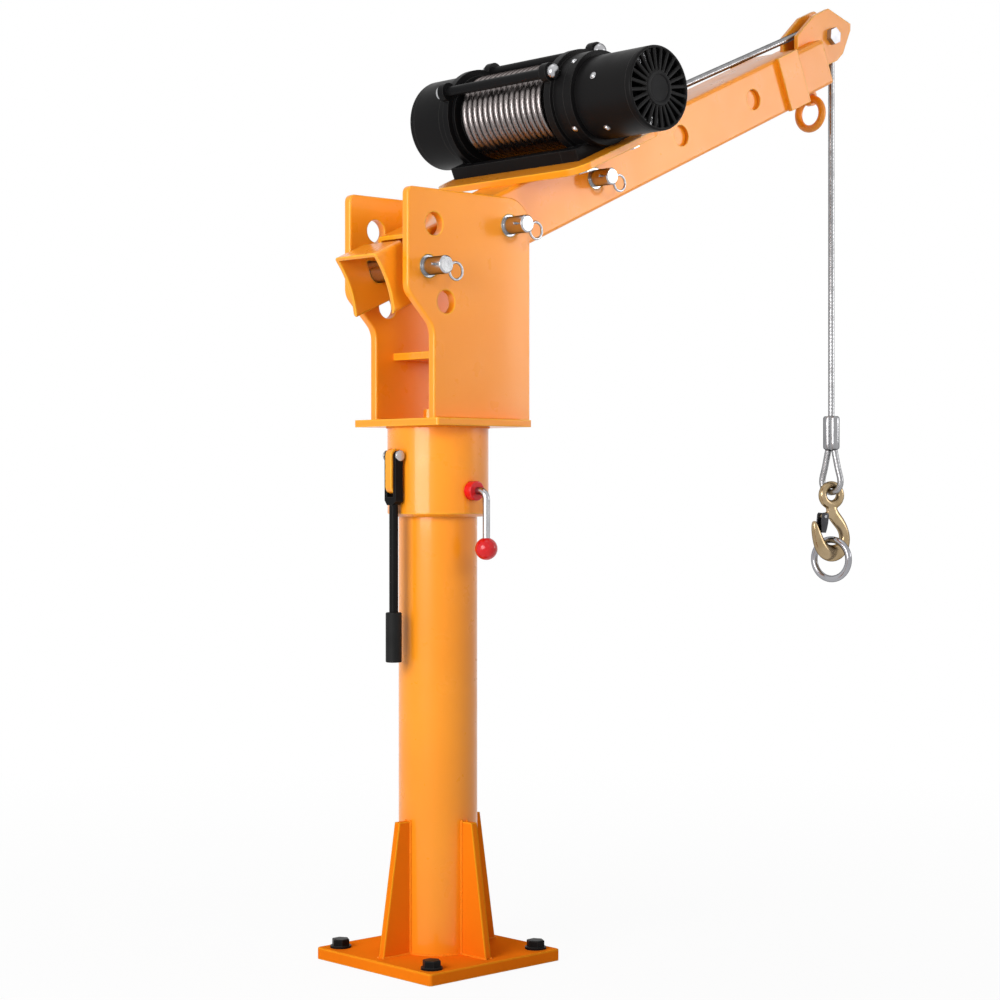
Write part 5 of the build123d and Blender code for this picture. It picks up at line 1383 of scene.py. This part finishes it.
@dataclass
class WeldSeams:
    """Painted weld beads where plates and tubes meet."""

    rack: FinishRack
    boom: BoomFrame
    bead: float = 1.9
    spacing: float = 1.5
    foot_top: float = 13.0
    column_radius: float = 44.45
    gusset_half: float = 4.0
    gusset_foot: float = 39.5
    gusset_height: float = 148.0
    gusset_sink: float = 0.2
    cheek_faces: tuple[float, float] = (44.6, 54.6)
    cheek_foot: tuple[float, float] = (-50.0, 74.0)
    winch_plate_ends: tuple[float, float] = (52.0, 203.0)
    winch_plate_side: float = 32.0
    boom_top: float = 34.2
    ring_parts: int = 64
    bead_share: tuple[float, float] = (0.86, 1.12)
    seed: int = 7

    def around(self, radius: float, height: float) -> list[Vector]:
        """A level ring round the column, in millimetres."""
        turns = [2 * math.pi * index / self.ring_parts for index in range(self.ring_parts + 1)]
        return [Vector((radius * math.cos(turn), radius * math.sin(turn), height)) for turn in turns]

    def stand_lines(self) -> list[list[Vector]]:
        """Seams of the column's foot and its stiffeners.

        Returns:
            Points of each seam, in millimetres.
        """
        lines = [self.around(self.column_radius, self.foot_top)]
        reach = self.column_radius + self.gusset_foot
        for index in range(4):
            turn = Matrix.Rotation(index * math.pi / 2, 3, "Z")
            for side in (self.gusset_half, -self.gusset_half):
                root = Vector((self.column_radius - self.gusset_sink, side, self.foot_top))
                lines.append([turn @ root, turn @ Vector((reach, side, self.foot_top))])
                lines.append([turn @ root, turn @ (root + Vector((0.0, 0.0, self.gusset_height)))])
        return lines

    def head_lines(self) -> list[list[Vector]]:
        """Seams of the collar and the cheeks on the head plate.

        Returns:
            Points of each seam, in millimetres.
        """
        under, top = (corner.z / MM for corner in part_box("head_plate"))
        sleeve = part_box("slew_sleeve")
        lines = [self.around((sleeve[1].y - sleeve[0].y) / 2 / MM, under)]
        for face in self.cheek_faces:
            for side in (1, -1):
                lines.append([Vector((along, side * face, top)) for along in self.cheek_foot])
        return lines

    def boom_lines(self) -> list[list[Vector]]:
        """Seams of the winch plate on the boom.

        Returns:
            Points of each seam, in millimetres.
        """
        lines = []
        for across in (self.winch_plate_side, -self.winch_plate_side):
            ends = [self.boom.point(along, across, self.boom_top) for along in self.winch_plate_ends]
            lines.append([end / MM for end in ends])
        return lines

    def seam(self, name: str, body: str, lines: list[list[Vector]]) -> None:
        """Lay beads along lines.

        Args:
            name: name of the piece.
            body: body that carries it.
            lines: points of each seam, in millimetres.
        """
        holder = bpy.data.meshes.new(name)
        points = [point * MM for line in lines for point in line]
        edges = []
        start = 0
        for line in lines:
            edges += [(start + index, start + index + 1) for index in range(len(line) - 1)]
            start += len(line)
        holder.from_pydata(points, edges, [])
        pattern = Pattern(name, self.rack.materials[FinishName.WELD_PAINT])
        curve = pattern.node("GeometryNodeMeshToCurve", {"Mesh": pattern.entry.outputs[0]}).outputs[0]
        steps = {"Curve": curve, "Length": pattern.size("Spacing", self.spacing * MM)}
        spots = pattern.node("GeometryNodeCurveToPoints", steps, mode="LENGTH")
        bead = pattern.size("Bead", self.bead * MM)
        ball = pattern.node("GeometryNodeMeshUVSphere", {"Segments": 8, "Rings": 5, "Radius": bead})
        chance = pattern.node("FunctionNodeRandomValue", data_type="FLOAT")
        low, high = (socket for socket in chance.inputs if socket.type == "VALUE" and socket.enabled)
        low.default_value, high.default_value = self.bead_share
        pattern.feed(chance, {"Seed": pattern.size("Seed", self.seed)})
        amount = next(socket for socket in chance.outputs if socket.type == "VALUE" and socket.enabled)
        spread = pattern.node("GeometryNodeInstanceOnPoints", {
            "Points": spots.outputs["Points"], "Instance": ball.outputs[0],
            "Rotation": spots.outputs["Rotation"], "Scale": amount,
        })
        mesh = pattern.mesh(spread.outputs[0], holder)
        piece = self.rack.piece(name, mesh, FinishName.WELD_PAINT)
        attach(piece, body)

    def build(self) -> None:
        """Weld each body's seams."""
        self.seam("stand_welds", "stand", self.stand_lines())
        self.seam("head_welds", "head", self.head_lines())
        self.seam("boom_welds", "boom", self.boom_lines())


@dataclass(frozen=True)
class Lamp:
    """A square soft lamp: its place, the point it faces, its side, watts and the degrees it fans over.

    A lamp that isn't mirrored doesn't show in gloss.
    """

    name: str
    place: tuple[float, float, float]
    aim: tuple[float, float, float]
    side: float
    power: float
    fan: float = 180.0
    mirrored: bool = True


@dataclass
class Studio:
    """Camera at the photograph's viewing point, soft lamps, white surround and pale floor."""

    turn: float = math.radians(43.1)
    eye: Vector = field(default_factory=lambda: Vector((-1.6546, -1.8708, 0.53397)))
    lens: float = 79.45
    sensor: float = 36.0
    shift_up: float = -0.01276
    floor_side: float = 12.0
    floor_fade: tuple[float, float] = (0.4, 1.8)
    floor_drop: float = 0.0006
    floor_grey: float = 0.75
    floor_white: float = 0.94
    ambient: float = 0.27
    lamps: tuple[Lamp, ...] = (
        Lamp("left_lamp", (-1.4, -0.3, 0.9), (0.0, 0.0, 0.6), 0.9, 21.0),
        Lamp("front_lamp", (0.15, -1.5, 1.4), (0.2, 0.0, 1.0), 0.7, 1.4, 54.0, False),
        Lamp("right_lamp", (1.5, -1.0, 1.05), (0.45, 0.0, 0.98), 0.8, 0.82, 50.0),
        Lamp("top_lamp", (0.1, -0.2, 2.6), (0.2, 0.0, 0.9), 1.0, 2.2),
        Lamp("back_lamp", (1.5, 1.7, 1.3), (0.2, 0.0, 0.6), 1.4, 22.0, 180.0, False),
    )

    def camera(self) -> None:
        """Set the camera up."""
        data = bpy.data.cameras.new("camera")
        data.lens = self.lens
        data.sensor_width = self.sensor
        data.sensor_fit = "HORIZONTAL"
        data.shift_y = self.shift_up
        data.clip_end = 50.0
        camera = new_piece("camera", data)
        camera.location = self.eye
        camera.rotation_euler = (math.pi / 2, 0.0, -self.turn)
        bpy.context.scene.camera = camera

    def hang(self, lamp: Lamp) -> None:
        """Hang a lamp.

        Args:
            lamp: the lamp.
        """
        data = bpy.data.lights.new(lamp.name, "AREA")
        data.shape = "SQUARE"
        data.size = lamp.side
        data.energy = lamp.power
        data.spread = math.radians(lamp.fan)
        hung = new_piece(lamp.name, data)
        hung.visible_glossy = lamp.mirrored
        turned = (Vector(lamp.aim) - Vector(lamp.place)).to_track_quat("-Z", "Y")
        hung.matrix_world = Matrix.Translation(lamp.place) @ turned.to_matrix().to_4x4()

    @staticmethod
    def seen(tree: Tree) -> bpy.types.NodeSocket:
        """Share that is 1 for what the camera, a reflection or a clear piece shows.

        Args:
            tree: node tree of the world or a material.

        Returns:
            The value socket.
        """
        path = tree.node("ShaderNodeLightPath")
        total = path.outputs["Is Camera Ray"]
        for name in ("Is Glossy Ray", "Is Transmission Ray"):
            rays = {0: total, 1: path.outputs[name]}
            total = tree.node("ShaderNodeMath", rays, operation="MAXIMUM").outputs[0]
        return total

    def surround(self) -> None:
        """Make the world white to look at and softer as a light."""
        world = bpy.data.worlds.new("surround")
        bpy.context.scene.world = world
        world.use_nodes = True
        tree = Tree(world.node_tree)
        shown = tree.node("ShaderNodeBackground", {"Color": WHITE}).outputs[0]
        light = tree.node("ShaderNodeBackground", {"Color": WHITE, "Strength": self.ambient}).outputs[0]
        mixer = tree.node("ShaderNodeMixShader", {0: self.seen(tree), 1: light, 2: shown})
        tree.node("ShaderNodeOutputWorld", {"Surface": mixer.outputs[0]})

    def floor(self) -> None:
        """Lay the pale floor, which keeps a faint shadow."""
        half = self.floor_side / 2
        mesh = bpy.data.meshes.new("floor")
        corners = [(-half, -half), (half, -half), (half, half), (-half, half)]
        mesh.from_pydata([(x, y, -self.floor_drop) for x, y in corners], [], [(0, 1, 2, 3)])
        floor = new_piece("floor", mesh)
        graph = Graph("floor_white")
        grey = self.floor_grey
        graph.surface(Base_Color=(grey, grey, grey, 1.0), Roughness=0.9)
        glow = graph.node("ShaderNodeEmission", {"Color": WHITE, "Strength": 1.0}).outputs[0]
        distance = graph.node("ShaderNodeVectorMath", {0: graph.place()}, operation="LENGTH")
        fade = graph.spread(distance.outputs["Value"], *self.floor_fade, self.floor_white, 1.0)
        share = graph.node("ShaderNodeMath", {0: self.seen(graph), 1: fade}, operation="MULTIPLY").outputs[0]
        mixer = graph.node("ShaderNodeMixShader", {0: share, 1: graph.shader.outputs[0], 2: glow})
        graph.feed(graph.output, {"Surface": mixer.outputs[0]})
        mesh.materials.append(graph.material)

    def build(self) -> None:
        """Set up the camera, the surround, the floor and the lamps."""
        bpy.context.scene.view_settings.view_transform = "Standard"
        self.camera()
        self.surround()
        self.floor()
        for lamp in self.lamps:
            self.hang(lamp)


def main() -> None:
    """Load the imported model, dress it, add the pieces and set the studio."""
    logging.basicConfig(level=logging.INFO, format="%(name)s: %(message)s")
    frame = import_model()
    rack = FinishRack()
    rack.dress(frame)
    boom = BoomFrame()
    sleeve = PressedSleeve(rack).build()
    WireRope(rack, boom, sleeve).build()
    ForgedHook(rack).build()
    WinchTrim(rack, boom).build()
    WeldSeams(rack, boom).build()
    Studio().build()


if __name__ == "__main__":
    main()
